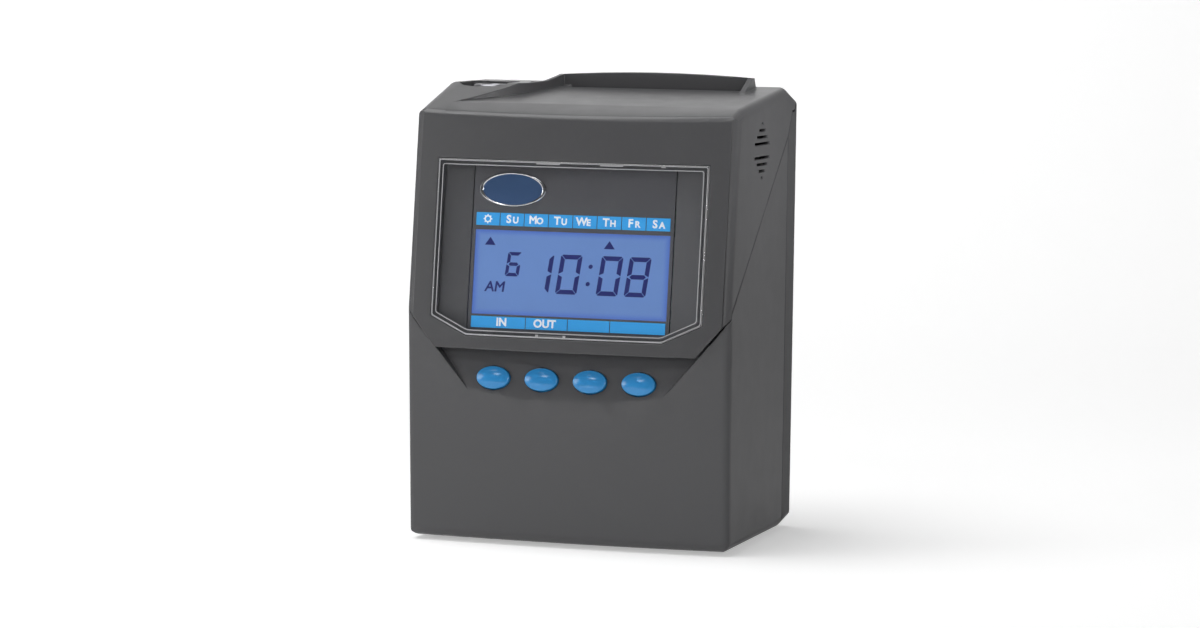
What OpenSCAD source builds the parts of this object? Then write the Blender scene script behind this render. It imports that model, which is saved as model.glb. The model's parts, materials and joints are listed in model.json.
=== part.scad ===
// Card time clock: a hinged hood on a lower housing and a rear cover, with its display, buttons, key lock
// and card mechanism. Millimetres, +Z up, the front faces -Y, the origin is on the floor under the middle.

/* [Case] */
// Overall width of the case
body_w = 171; // [165:1:180]
// Depth from the chin of the hood to the back
body_d = 135.6; // [132:0.2:142]
// Height of the flat deck above the floor of the case
deck_h = 231.4; // [230:0.2:233]
// Wall of the mouldings
wall = 2.5; // [2:0.1:3]
// Gap along the seams between the mouldings
seam = 0.5; // [0.3:0.1:0.8]
// Distance from the back to the seam of the rear cover
rear_deep = 21; // [19:0.5:24]
// Height of the rubber feet
foot_h = 2; // [1:0.5:4]
// Radius of a rubber foot
foot_r = 7; // [5:0.5:9]
// Distance of a foot from the sides and the front of the case
foot_inset = 34; // [28:1:40]

/* [Hood] */
// Lean of the front face
face_lean = 7.2; // [6:0.2:8]
// Slope of the band behind the brow
brow_slope = 15.6; // [14:0.2:17]
// Drop from the deck to the brow edge at the middle
brow_drop = 14.3; // [13.4:0.1:16.4]
// Radius that the brow is bowed to in plan
bow_r = 700; // [600:10:900]
// Round of the brow edge
brow_r = 4; // [3:0.5:5]
// Round of the upright front corners
corner_r = 4; // [3:0.5:5]
// Round of the side edges of the deck
edge_r = 5; // [4:0.5:6]
// Width of the chin
chin_w = 139.2; // [134:0.2:144]
// Drop from the deck to where the slanted seam meets the sides
shoulder_drop = 114.1; // [110:0.1:118]
// Rise of the slanted seam from the chin to the sides
chin_rise = 18.7; // [17:0.1:20]
// Drop from the deck to where the side seam meets the rear seam
nape_drop = 26.4; // [24:0.2:30]
// Where the card ramp starts behind the brow edge
ramp_back = 18.6; // [15:0.2:22]
// Slope of the card ramp
ramp_slope = 6; // [5:0.2:6.4]
// Slope of the deck behind its crest
tail_slope = 17; // [14:1:20]
// Length of the sloping tail of the deck
tail_len = 22.8; // [20:0.2:25]

/* [Card throat] */
// Width of the card slot
slot_w = 94; // [91:1:96]
// Gap of the card slot
slot_gap = 5.4; // [5:0.1:6]
// Middle of the card slot from the right side of the case
slot_inset = 68.5; // [68:0.5:71]
// Middle of the card slot in front of the back
slot_back = 35.4; // [34:0.2:37]
// Width of the raised guide behind the slot
guide_w = 104; // [102:1:108]
// Wall of the raised guide
guide_t = 2.6; // [2:0.1:3.5]
// Height of the guide's ends above the deck
guide_end = 4.1; // [3:0.1:5]
// Extra height of the guide's arch
guide_arch = 1.8; // [1:0.1:3]
// Run of the guide's sloping back
guide_back = 5; // [3:0.5:6]
// Radius of the swept step beside the ramp
sweep_r = 130; // [120:5:140]
// Middle of the swept step beyond the left side of the case
sweep_out = 76.5; // [68:0.5:82]
// Middle of the swept step, in front of the back
sweep_back = 10.4; // [6:0.2:14]
// Run of the swept wall up to the guide
sweep_run = 30; // [20:1:36]
// Run of the right fin up to the guide
fin_run = 17; // [12:1:22]
// Depth of the throat below the deck
throat_deep = 12.4; // [11:0.2:13]

/* [Lock] */
// Middle of the lock from the left side of the case
lock_inset = 21.5; // [20.5:0.5:23.5]
// Middle of the lock in front of the back
lock_back = 59.8; // [58:0.2:62]
// Width of the lock pocket
pocket_w = 27; // [25:0.5:28]
// Length of the lock pocket
pocket_len = 32; // [28:1:34]
// Corner round of the lock pocket
pocket_r = 8; // [6:0.5:10]
// Depth of the lock pocket below the deck
pocket_deep = 7.4; // [6:0.2:8]
// Radius of the lock's bezel
bezel_r = 10; // [9.5:0.1:10.5]
// Height of the bezel above the pocket
bezel_h = 6.2; // [5:0.1:6.4]
// Radius of the lock's body
barrel_r = 8; // [7:0.1:8.5]
// Length of the lock's body below the pocket
barrel_len = 24; // [20:1:25]
// Radius of the turning plug
plug_r = 5.5; // [5:0.1:6]
// Radius of the plug's tail
tail_r = 3; // [2.5:0.1:3.5]
// Length of the tail down to the cam
tail_drop = 5; // [4.5:0.1:6]
// Thickness of the cam
cam_t = 3; // [2:0.1:4]
// Reach of the cam from the plug's axis
cam_reach = 12; // [11:0.5:14]
// Radius of the cam's hub
cam_hub_r = 4.5; // [4:0.1:5]
// Width of the keyway
keyway_w = 1.6; // [1.2:0.1:2]

/* [Hinge] */
// Radius of the hinge barrel
knuckle_r = 4.5; // [4:0.1:5]
// Radius of the hinge pins
pin_r = 1.5; // [1.2:0.1:2]
// Middle of each hinge lug from the case's middle
lug_x = 65; // [60:1:68]
// Width of a hinge lug
lug_w = 9; // [8:0.5:11]
// Length of a hinge pin beyond its lug, each side
pin_over = 5; // [4:0.5:7]
// Room round the hinge barrel for the hood's tail as it swings
hinge_room = 1.3; // [1.2:0.1:1.6]

/* [Side vents] */
// Rows of slots in each half of the diamond
vent_rows = 4; // [3:1:5]
// Drop from the deck to the diamond's middle
vent_drop = 31.3; // [29:0.1:34]
// Middle of the diamond in front of the back
vent_back = 71.8; // [68:0.2:76]
// Pitch of the slots
vent_pitch = 3.4; // [3:0.1:3.6]
// Gap between the two halves
vent_gap = 7.1; // [6:0.1:8]
// Height of a slot
vent_slot = 1.3; // [1:0.1:1.6]
// Half length of the shortest slot
vent_tip = 1.6; // [1:0.1:2]
// Growth of the half length from row to row
vent_step = 4.1; // [3:0.1:4.5]

/* [Window] */
// Width of the window
lens_w = 143.4; // [138:0.2:146]
// Height of the window
lens_h = 88.6; // [85:0.2:91]
// Height of the window's slanted lower corners
lens_corner = 9.2; // [7:0.2:11]
// Height of the window's bottom edge above the chin
lens_up = 6.8; // [5.6:0.2:8]
// Width of the window's bottom edge
lens_bottom_w = 103.8; // [98:0.2:110]
// Thickness of the clear window
lens_t = 2; // [1.5:0.1:2.2]
// Gap round the clear window
lens_gap = 0.25; // [0.15:0.05:0.4]
// Ledge that carries the window
ledge = 2.5; // [2:0.1:3]
// Thickness of the ledge
ledge_t = 2; // [1.5:0.1:2.5]

/* [Display] */
// Depth of the overlay behind the face
overlay_deep = 11.4; // [11:0.1:13]
// Width of the overlay
overlay_w = 107; // [105.5:0.5:109]
// Height of the overlay
overlay_h = 86; // [84:0.5:87]
// Distance of the overlay's bottom edge above the chin
overlay_up = 9.4; // [9:0.1:10]
// Shift of the display to the left
display_left = 1; // [0:0.5:2]
// Thickness of the overlay
overlay_t = 1.2; // [1:0.1:1.6]
// Width of the display glass
lcd_w = 103.5; // [100:0.5:104]
// Distance of the glass's top edge below the overlay's
lcd_drop = 33.9; // [33.5:0.1:34.5]
// Height of the display glass
lcd_h = 43; // [41:0.5:43.4]
// Thickness of the display glass
lcd_t = 2.4; // [1.8:0.1:2.8]
// Distance of the day strip's top edge below the overlay's
day_drop = 25.2; // [24:0.1:26]
// Height of the day strip
day_h = 6.5; // [6:0.1:7]
// Cells of the day strip
day_cells = 8; // [7:1:8]
// Distance of the function strip's top edge below the overlay's
func_drop = 78; // [77.6:0.1:79]
// Height of the function strip
func_h = 5.8; // [5:0.1:6.4]
// Cells of the function strip
func_cells = 4; // [3:1:4]
// Width of the inner cells of the function strip
func_inner = 22.4; // [20:0.2:26]
// Thickness of the coloured strips
strip_t = 0.4; // [0.3:0.1:0.6]
// Gap between the cells of a strip
cell_gap = 0.5; // [0.3:0.1:0.8]
// Width of the oval badge
badge_w = 35.5; // [33:0.5:37]
// Height of the oval badge
badge_h = 17.4; // [16:0.2:18.4]
// Thickness of the oval badge
badge_t = 1.4; // [1:0.1:1.8]
// Middle of the badge, to the left of the case's middle
badge_left = 33.6; // [31:0.2:35]
// Distance of the badge's middle below the overlay's top edge
badge_drop = 13.2; // [12.5:0.1:14]
// Rise of the bezel's sloping faces
bezel_rise = 2.6; // [2:0.1:2.8]
// Flat rim of the bezel
bezel_rim = 1.5; // [1:0.1:2]
// Thickness of the backlight
light_t = 4; // [3:0.2:4.6]
// Thickness of the circuit boards
board_t = 1.6; // [1.2:0.1:2]
// Thickness of the display carrier
carrier_t = 2; // [1.5:0.1:2.5]

/* [Buttons] */
// Buttons in the row
button_n = 4; // [4:1:4]
// Pitch of the buttons
button_pitch = 25.7; // [24:0.1:26.5]
// Width of a button
button_w = 17.6; // [16:0.1:18.5]
// Height of a button
button_h = 11.6; // [10.5:0.1:12.5]
// Height of the button's edge above the panel
button_proud = 1.6; // [1.4:0.1:2.2]
// Rise of the button's dome
button_dome = 1.7; // [1.2:0.1:2]
// Gap round a button
button_gap = 0.4; // [0.3:0.05:0.6]
// Flange that keeps a button in its hole
button_flange = 1.4; // [1:0.1:1.8]
// Travel of a button
button_travel = 1.2; // [0.8:0.1:1.5]
// Distance of the buttons' middle above the foot of the panel
button_up = 11.5; // [10.5:0.1:12]
// Lean of the button panel
panel_lean = 14.4; // [13:0.2:16]
// Drop from the chin to the panel's foot at the middle
panel_drop = 26.1; // [25:0.1:27]
// Height of the panel's hidden top edge above the chin
panel_lap = 5.4; // [4.5:0.1:5.6]
// Room between the outer buttons and the slanted sides of the panel
flank_room = 9.5; // [9:0.1:11]
// Distance from the panel's back to the switch board
key_room = 7; // [6.5:0.1:8]

/* [Lower housing] */
// Lean of the lower front
low_lean = 3; // [2.4:0.1:3.4]
// Radius that the lower front is bowed to in plan
low_bow_r = 900; // [700:20:1200]
// Round of the bottom edges
low_edge_r = 5.5; // [4:0.5:6.5]
// Slope of the rear cover's bottom
heel_slope = 9; // [6:0.5:11]
// Round of the rear cover's top and bottom edges
rear_r = 3; // [2.5:0.5:3.5]
// Round of the rear cover's upright corners
rear_corner_r = 6; // [5:0.5:8]

/* [Mechanism] */
// Sheet thickness of the chassis
sheet = 1.5; // [1.2:0.1:2]
// Half of the width between the chassis plates
mech_half = 52.5; // [51:0.5:53]
// Height of the chassis floor's underside
chassis_h = 8; // [7:0.5:9]
// Drop from the deck to the top of the chassis plates
plate_drop = 34.4; // [32.4:0.2:39]
// Run of the chassis floor in front of the chute
floor_run = 58; // [56:0.5:60]
// Run of the chassis plates in front of the chute
plate_run = 35; // [34:0.5:36]
// Run of the chassis plates behind the chute
plate_tail = 9; // [8.5:0.1:9.5]
// Thickness of the card chute plates
chute_t = 1.2; // [1:0.1:1.5]
// Clear gap of the card chute
chute_gap = 6; // [5.8:0.1:6.4]
// Drop from the deck to the chute's top edge
chute_drop = 13.9; // [13.4:0.1:17]
// Drop from the deck to the feed rollers
feed_drop = 53.4; // [51.4:0.5:55.4]
// Radius of the feed and pinch rollers
roller_r = 8; // [7.6:0.1:8.2]
// Length of a feed roller
roller_len = 18; // [14:1:22]
// Middle of each roller from the slot's middle
roller_off = 26; // [22:1:28]
// Radius of the feed shaft
shaft_r = 3; // [2.5:0.1:3.5]
// Running clearance of a shaft in its bore
run_fit = 0.05; // [0.02:0.01:0.09]
// Seat clearance of a fixed pin in its hole
seat_fit = 0.02; // [0.01:0.01:0.04]
// Gap between the feed and the pinch rollers
nip = 0.5; // [0.4:0.1:0.8]
// Size of the gear teeth, as pitch diameter over teeth
gear_m = 1; // [0.9:0.05:1.1]
// Teeth of the feed gear
feed_teeth = 30; // [30:6:36]
// Teeth of the idler gear
idler_teeth = 24; // [24:2:26]
// Teeth of the motor pinion
pinion_teeth = 12; // [12:2:14]
// Width of the gears
gear_w = 4; // [3:0.2:5]
// Lean of the gear train
train_lean = 10; // [8:0.5:12]
// Radius of the feed motor
motor_r = 11.4; // [10:0.1:11.5]
// Length of the feed motor
motor_len = 29; // [24:1:32]
// Drop from the deck to the print line
print_drop = 86.4; // [84.4:0.5:88.4]
// Drop from the print line to the carriage's guide rod
rod_drop = 9; // [8:0.5:10]
// Run of the guide rod in front of the chute
rod_run = 21; // [20:0.5:22]
// Rise of the guide rail above the guide rod
rail_rise = 28; // [27:0.5:29]
// Radius of the guide rod and the rail's thickness
rod_r = 3; // [2.5:0.1:3.2]
// Width of the carriage
carriage_w = 20; // [18:1:22]
// Travel of the carriage each way
carriage_go = 28; // [24:1:28]
// Radius of the belt pulleys
pulley_r = 6; // [5.5:0.1:6.5]
// Radius of the carriage motor
belt_motor_r = 13; // [11:0.5:13.5]
// Gap between the display carrier and the carriage motor
belt_motor_gap = 8.7; // [6:0.1:10]
// Thickness of the belt
belt_t = 1.2; // [1:0.1:1.5]
// Width of the belt
belt_w = 4; // [3:0.2:4.4]
// Radius of the pivot rod of the pinch arm
pivot_r = 2.5; // [2:0.1:3]
// Height of the sensor lever's pivot
sensor_h = 60; // [56:1:66]

/* [Fasteners and power] */
// Radius of a screw's shank
screw_r = 1.5; // [1.2:0.1:1.8]
// Radius of a screw's head
head_r = 3; // [2.6:0.1:3.4]
// Height of a screw's head
head_h = 2; // [1.6:0.1:2.4]
// Radius of a screw boss
boss_r = 4.5; // [4:0.1:5]
// Height of the lower rear screws
screw_low = 20; // [18:1:26]
// Height of the upper rear screws
screw_high = 100; // [90:1:108]
// Spacing of the wall keyholes
keyhole_span = 100; // [80:1:110]
// Drop from the deck to the wall keyholes
keyhole_drop = 66.4; // [60:0.2:76]
// Radius of a keyhole's entry
keyhole_r = 4.5; // [4:0.1:5]
// Radius of a keyhole's slot
keyslot_r = 2.2; // [1.8:0.1:2.4]
// Length of a keyhole's slot
keyslot_len = 9; // [7:0.5:11]
// Distance of the power inlet's middle from the left side
jack_inset = 27.5; // [22:0.5:35]
// Height of the power inlet
jack_h = 32; // [28:1:40]
// Radius of the power inlet's hole
jack_r = 2.9; // [2.6:0.1:3.2]

/* [Electronics] */
// Radius of a back-up cell
cell_r = 7; // [6:0.5:8]
// Length of a back-up cell
cell_len = 50; // [44:1:56]
// Radius of a capacitor
can_r = 4; // [3:0.5:4.5]
// Height of a capacitor
can_h = 14; // [10:1:16]
// Pitch of the capacitors
can_pitch = 11; // [9.5:0.5:12]
// Width of a chip
chip_w = 16; // [12:1:18]
// Depth of a chip
chip_d = 10; // [8:1:12]
// Pitch of the chips
chip_pitch = 24; // [20:1:26]
// Width of a plug socket
plug_w = 8; // [6:0.5:9]
// Depth of a plug socket
plug_d = 6; // [5:0.5:8]
// Pitch of the plug sockets
plug_pitch = 9; // [8.5:0.5:10]
// Width of the relay
relay_w = 18; // [15:1:20]
// Depth of the relay
relay_d = 11; // [9:1:12]

/* [Hidden] */
$fn = 64;
fine = 240;
reach = 420;
eps = 0.01;
skim = 0.04;
edge_step = 0.3;
half_w = body_w / 2;
back_y = body_d / 2;
seam_y = back_y - rear_deep;
// Heights of the case
brow_h = deck_h - brow_drop;
shoulder_h = deck_h - shoulder_drop;
chin_h = shoulder_h - chin_rise;
nape_h = deck_h - nape_drop;
vent_h = deck_h - vent_drop;
keyhole_h = deck_h - keyhole_drop;
lens_bottom = chin_h + lens_up;
lens_side = lens_bottom + lens_corner;
lens_top = lens_bottom + lens_h;
panel_h = chin_h - panel_drop;
panel_top = chin_h + panel_lap;
// Places across the case
slot_x = half_w - slot_inset;
sweep_x = half_w + sweep_out;
lock_left = half_w - lock_inset;
// Brow, ramp and deck
brow_y = -back_y + (brow_h - chin_h) * tan(face_lean);
cone_a = brow_slope + face_lean;
ramp_y = brow_y + ramp_back;
ramp_h = brow_h + ramp_back * tan(brow_slope);
tail_y = back_y - tail_len;
function ramp_z(y) = ramp_h + (y - ramp_y) * tan(ramp_slope);
function tail_z(y) = deck_h - (y - tail_y) * tan(tail_slope);
// Front of the hood and of the housing at a height, at the middle and at the sides
function bow(r, x) = r - sqrt(r * r - x * x);
function face_y(z) = brow_y - (brow_h - z) * tan(face_lean);
low_y = face_y(shoulder_h) + bow(bow_r, half_w) - bow(low_bow_r, half_w) + shoulder_h * tan(low_lean);
function low_front(z) = low_y - z * tan(low_lean);
// Slanted seam on the front and straight seam on the sides
notch_run = (body_w - chin_w) / 2 / (shoulder_h - chin_h);
function notch_x(z) = chin_w / 2 + (z - chin_h) * (z > chin_h ? notch_run : flank_run);
shoulder_y = face_y(shoulder_h) + bow(bow_r, half_w);
nape_y = seam_y - 0.7;
split_run = (nape_h - shoulder_h) / (nape_y - shoulder_y);
function split_z(y) = shoulder_h + (y - shoulder_y) * split_run;
slab_y = shoulder_y + wall + 1;
// Hinge axis under the tail of the deck
hinge_top_y = back_y - 10.1;
hinge_y = hinge_top_y - knuckle_r * sin(tail_slope);
hinge_z = tail_z(hinge_top_y) - knuckle_r * cos(tail_slope);
// Card slot and throat
slot_y = back_y - slot_back;
lip_y = slot_y - slot_gap / 2;
guide_y = slot_y + slot_gap / 2;
guide_left = slot_x - guide_w / 2;
guide_right = slot_x + guide_w / 2;
sweep_y = back_y - sweep_back;
throat_z = deck_h - throat_deep;
throat_wall = 2;
// Lock
lock_y = back_y - lock_back;
pocket_z = deck_h - pocket_deep;
barrel_z = pocket_z - barrel_len;
cam_z = barrel_z - tail_drop - cam_t;
// Display frame: depth is measured behind the face, heights are measured down from the brow
overlay_bottom = (brow_h - chin_h) / cos(face_lean) - overlay_up;
overlay_top = overlay_bottom - overlay_h;
lcd_top = overlay_top + lcd_drop;
day_top = overlay_top + day_drop;
func_top = overlay_top + func_drop;
bezel_deep = overlay_deep - bezel_rise;
light_deep = overlay_deep + overlay_t + lcd_t;
display_board_deep = light_deep + light_t;
carrier_deep = display_board_deep + board_t + carrier_t;
// Button panel
panel_y = low_front(panel_h);
button_x0 = -(button_n - 1) / 2 * button_pitch;
flank_z = panel_h + button_up * cos(panel_lean);
flank_run = (chin_w / 2 - (button_w / 2 - button_x0 + flank_room)) / (chin_h - flank_z);
key_deep = wall + key_room;
// Mechanism
plate_h = deck_h - plate_drop;
chute_top = deck_h - chute_drop;
feed_h = deck_h - feed_drop;
print_h = deck_h - print_drop;
rod_h = print_h - rod_drop;
plate_l = slot_x - mech_half;
plate_r = slot_x + mech_half;
chute_y0 = slot_y - chute_gap / 2;
chute_y1 = slot_y + chute_gap / 2;
feed_y = chute_y1 + roller_r - 1.5;
pinch_y = feed_y - 2 * roller_r - nip;
chassis_front = chute_y0 - floor_run;
plate_front = chute_y0 - plate_run;
plate_back = chute_y1 + plate_tail;
gear_x = plate_r + sheet + 1;
train_1 = gear_m * (feed_teeth + idler_teeth) / 2;
train_2 = gear_m * (idler_teeth + pinion_teeth) / 2;
idler_y = feed_y + train_1 * sin(train_lean);
idler_z = feed_h - train_1 * cos(train_lean);
pinion_y = idler_y + train_2 * sin(train_lean);
pinion_z = idler_z - train_2 * cos(train_lean);
idler_pin_r = 2;
motor_pin_r = 1.5;
rod_y = chute_y0 - rod_run;
rail_z = rod_h + rail_rise;
belt_y = plate_front + 2;
belt_z = rod_h + 7;
pulley_in = 8.5;
pivot_y = pinch_y - 13.4;
pivot_z = feed_h + 12;
arm_t = 3;
arm_off = 40;
axle_r = 2;
bush_r = shaft_r + 1.2;
base_top = chassis_h + sheet;
main_z = base_top + 6.5;
keeper_z = cam_z + cam_t + 0.8;
jack_left = half_w - jack_inset;

// Shared shapes

// Lifts the case on to its feet
module on_feet() {
    translate([0, 0, foot_h]) children();
}

// Rod along X between two ends
module rod_x(x0, x1, y, z, r) {
    translate([x0, y, z]) rotate([0, 90, 0]) cylinder(r = r, h = x1 - x0);
}

// Rod along Y between two ends
module rod_y(y0, y1, x, z, r) {
    translate([x, y0, z]) rotate([-90, 0, 0]) cylinder(r = r, h = y1 - y0);
}

// Box between two corners
module box(a, b) {
    translate(a) cube(b - a);
}

// Extrudes an outline drawn in X and Z along Y
module along_y(y0, y1) {
    translate([0, y1, 0]) rotate([90, 0, 0]) linear_extrude(y1 - y0) children();
}

// Extrudes an outline drawn in Y and Z along X
module along_x(x0, x1) {
    translate([x0, 0, 0]) rotate([90, 0, 90]) linear_extrude(x1 - x0) children();
}

// Band of width w below its top line, with rounded top corners that meet the flats at a slight angle
module round_top(w, r) {
    intersection() {
        translate([-w / 2, -reach]) square([w, reach]);
        union() {
            translate([-w / 2 - 1, -reach]) square([w + 2, reach - r]);
            translate([-w / 2 + r, -reach]) square([w - 2 * r, reach + 1]);
            for (s = [-1, 1]) translate([s * (w / 2 - r), -r]) circle(r = r + skim / 2);
        }
    }
}

// Rectangle with rounded corners round the origin
module round_rect(w, h, r) {
    square([w - 2 * r, h], center = true);
    square([w, h - 2 * r], center = true);
    for (x = [-1, 1], y = [-1, 1]) translate([x * (w / 2 - r), y * (h / 2 - r)]) circle(r = r);
}

// Points of an ellipse
function ellipse(w, h, n = 48) = [for (i = [0:n - 1]) [w / 2 * cos(i * 360 / n), h / 2 * sin(i * 360 / n)]];

// Corner of a right-angled prism outside a round of radius r, for a face turned by a from square
module corner_waste(r, a) {
    c = [-r, r * (1 - sin(a)) / cos(a)];
    n = [sin(a), -cos(a)];
    difference() {
        polygon([c, c + 3 * r * n, c + [3 * r, -3 * r], c + [3 * r, 0]]);
        translate(c) circle(r = r - eps);
    }
}

// Moves children into the frame of the leaning face: Y is the depth, Z runs up the face from the brow
module on_face() {
    translate([0, brow_y, brow_h]) rotate([-face_lean, 0, 0]) children();
}

// Moves children into the frame of the button panel: Y is the depth, Z runs up from the foot
module on_panel() {
    translate([0, panel_y, panel_h]) rotate([-panel_lean, 0, 0]) children();
}

// Screw with a round head, pointing down from its head's underside
module screw(len) {
    translate([0, 0, -len]) cylinder(r = screw_r - run_fit, h = len + eps);
    difference() {
        cylinder(r = head_r, h = head_h);
        for (a = [0, 90]) rotate(a) translate([-head_r / 2, -0.4, head_h / 2]) cube([head_r, 0.8, head_h]);
    }
}

// Outline of a spur gear with straight-flanked teeth, the first one centred on the X axis
function gear_outline(n) = let (p = gear_m * n / 2, a = 360 / n) [for (i = [0:n - 1], k = [0:3])
    let (r = p + gear_m * (k == 0 || k == 3 ? -1.15 : 0.9), t = a * [-0.3, -0.11, 0.11, 0.3][k])
    [r * cos(i * a + t), r * sin(i * a + t)]];

// Spur gear in the plane across X, its first tooth turned by a from straight down
module gear(n, y, z, bore, a) {
    translate([gear_x, y, z]) rotate([0, 90, 0]) difference() {
        rotate(a) linear_extrude(gear_w) polygon(gear_outline(n));
        translate([0, 0, -1]) cylinder(r = bore, h = gear_w + 2);
    }
}

// Outer forms of the case

// Prism under a roof that slopes in Y, with side edges rounded a step more than on the brow
module roof(y, z, slope, inset, step) {
    translate([0, y, z]) rotate([slope, 0, 0]) rotate([90, 0, 0]) linear_extrude(2 * reach, center = true)
        translate([0, -inset]) round_top(body_w - 2 * inset, max(edge_r - inset, 1) + step * edge_step);
}

// Face and brow of the hood, turned about an axis square to the sloping band
module face_turn(inset) {
    f = max(brow_r - inset, 1);
    r = bow_r + inset * tan(cone_a) - inset / cos(cone_a);
    t = f * tan(45 - cone_a / 2);
    translate([0, brow_y, brow_h]) rotate([brow_slope, 0, 0]) translate([0, bow_r, -inset])
        rotate_extrude($fn = 2 * fine) {
            polygon([[0, 0], [r - t, 0], [r - t + f * cos(cone_a), f * sin(cone_a) - f],
                [r + reach * tan(cone_a) / 2, -reach / 2], [0, -reach / 2]]);
            translate([r - t, -f]) circle(r = f);
        }
}

// High left part of the deck, bounded by the swept step
module left_deck(inset) {
    translate([-sweep_x, sweep_y, 0]) cylinder(r = sweep_r - inset, h = reach, $fn = fine);
}

// Rounds one pair of upright corners along a leaning edge through a point on the sides
module corner_cuts(y, z, lean, a) {
    for (s = [0, 1]) mirror([s, 0, 0]) translate([half_w, y, z]) rotate([-lean, 0, 0])
        linear_extrude(reach, center = true) corner_waste(corner_r, a);
}

// Whole form of the hood before it is cut along the seams
module hood_form(inset) {
    difference() {
        intersection() {
            face_turn(inset);
            roof(brow_y, brow_h, brow_slope, inset, 0);
            roof(0, deck_h, 0, inset, 1);
            roof(tail_y, deck_h, -tail_slope, inset, 3);
            union() {
                roof(ramp_y, ramp_h, ramp_slope, inset, 2);
                left_deck(inset);
            }
        }
        if (inset == 0) corner_cuts(shoulder_y, shoulder_h, face_lean, asin(half_w / bow_r));
    }
}

// Side outline of what belongs to the hood
module hood_side(gap) {
    polygon([[-reach, chin_h - gap], [slab_y + gap, chin_h - gap], [slab_y + gap, split_z(slab_y) - gap],
        [nape_y + gap, nape_h - gap], [hinge_y + gap, hinge_z - gap], [hinge_top_y + gap, hinge_z],
        [hinge_top_y + gap, reach], [-reach, reach]]);
}

// Front outline of the notch up to a height, widened by a margin
module notch_front(margin, top) {
    m = margin * sqrt(1 + notch_run * notch_run);
    low = panel_h - 10;
    polygon([[-notch_x(low) - m, low], [notch_x(low) + m, low], [chin_w / 2 + m, chin_h],
        [notch_x(top) + m, top], [-notch_x(top) - m, top], [-chin_w / 2 - m, chin_h]]);
}

// Space in front of the button panel, widened by a margin
module notch(margin) {
    intersection() {
        along_y(-reach, reach) notch_front(margin, panel_top + (margin > 0 ? 0 : wall));
        on_panel() box([-reach, -reach, -reach], [reach, margin, reach]);
    }
}

// Space in the lower housing's front edge for the chin of the hood
module chin_room() {
    difference() {
        along_y(-reach, slab_y + seam) notch_front(2 * skim, shoulder_h + wall);
        box([-reach, -reach, -reach], [reach, reach, panel_top + wall / 2]);
    }
}

// Whole form of the lower housing before it is cut along the seams
module tub_form(inset) {
    f = max(low_edge_r - inset, 1);
    r = low_bow_r + inset * tan(low_lean) - inset / cos(low_lean);
    t = f * tan(45 - low_lean / 2);
    difference() {
        intersection() {
            translate([0, low_y + low_bow_r, inset]) rotate_extrude($fn = 2 * fine) {
                polygon([[0, 0], [r - t, 0], [r - t + f * cos(low_lean), f - f * sin(low_lean)],
                    [r + reach * tan(low_lean), reach], [0, reach]]);
                translate([r - t, f]) circle(r = f);
            }
            mirror([0, 0, 1]) along_y(-reach, reach) translate([0, -inset])
                round_top(body_w - 2 * inset, max(low_edge_r - inset, 1));
        }
        if (inset == 0) corner_cuts(shoulder_y, shoulder_h, -low_lean, asin(half_w / low_bow_r));
    }
}

// Side outline of the rear cover's outer form
module rear_side(inset) {
    b = back_y - inset;
    zt = tail_z(b) - inset / cos(tail_slope) + skim;
    zb = (b - seam_y) * tan(heel_slope) + inset / cos(heel_slope) - skim;
    f = max(rear_r - inset, 1);
    ct = [b - f, zt - f * (1 - sin(tail_slope)) / cos(tail_slope)];
    cb = [b - f, zb + f * (1 - sin(heel_slope)) / cos(heel_slope)];
    front = tail_y - rear_deep;
    polygon([[front, zb - (b - front) * tan(heel_slope)], cb + f * [sin(heel_slope), -cos(heel_slope)],
        cb + [f, 0], ct + [f, 0], ct + f * [sin(tail_slope), cos(tail_slope)],
        [front, zt + (b - front) * tan(tail_slope)]]);
    translate(ct) circle(r = f);
    translate(cb) circle(r = f);
}

// Whole form of the rear cover before it is cut along the seams
module rear_form(inset) {
    w = body_w - 2 * inset;
    intersection() {
        along_x(-half_w - 1, half_w + 1) rear_side(inset);
        roof(0, deck_h, 0, inset, 1);
        roof(tail_y, deck_h, -tail_slope, inset, 3);
        translate([0, back_y - inset + skim, -1]) linear_extrude(reach) round_top(w, rear_corner_r - inset);
        translate([0, seam_y, 0]) rotate([heel_slope, 0, 0]) mirror([0, 0, 1]) along_y(-reach, reach)
            translate([0, -inset]) round_top(w, max(low_edge_r - inset, 1));
    }
}

// Window outline in X and Z, grown by a margin
module lens_outline(margin) {
    run = (lens_w - lens_bottom_w) / 2;
    rise = lens_side - lens_bottom;
    slant = sqrt(run * run + rise * rise);
    x0 = lens_w / 2 + margin;
    z0 = lens_bottom - margin;
    zs = lens_side + margin * (rise - slant) / run;
    xs = lens_bottom_w / 2 + margin * (slant - run) / rise;
    polygon([[-x0, lens_top + margin], [-x0, zs], [-xs, z0], [xs, z0], [x0, zs], [x0, lens_top + margin]]);
}

// Prism of the window outline through the face
module lens_prism(margin) {
    along_y(-reach, brow_y + 4 * wall) lens_outline(margin);
}

// Lock pocket in plan
module pocket_plan(margin) {
    translate([-lock_left - 1.5, lock_y, 0])
        round_rect(pocket_w + 2 * margin, pocket_len + 2 * margin, pocket_r + margin);
}

// Lug spaces along the hinge barrel
module lug_spaces(r, gap) {
    for (s = [-1, 1]) rod_x(s * lug_x - lug_w / 2 - gap, s * lug_x + lug_w / 2 + gap, hinge_y, hinge_z, r);
}

// Diamond of slots in one side wall
module vents() {
    for (half = [-1, 1], i = [0:vent_rows - 1])
        translate([0, back_y - vent_back, vent_h + half * (vent_gap / 2 + (vent_rows - 1 - i) * vent_pitch)])
            cube([body_w + 2, 2 * (vent_tip + i * vent_step), vent_slot], center = true);
}

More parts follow.
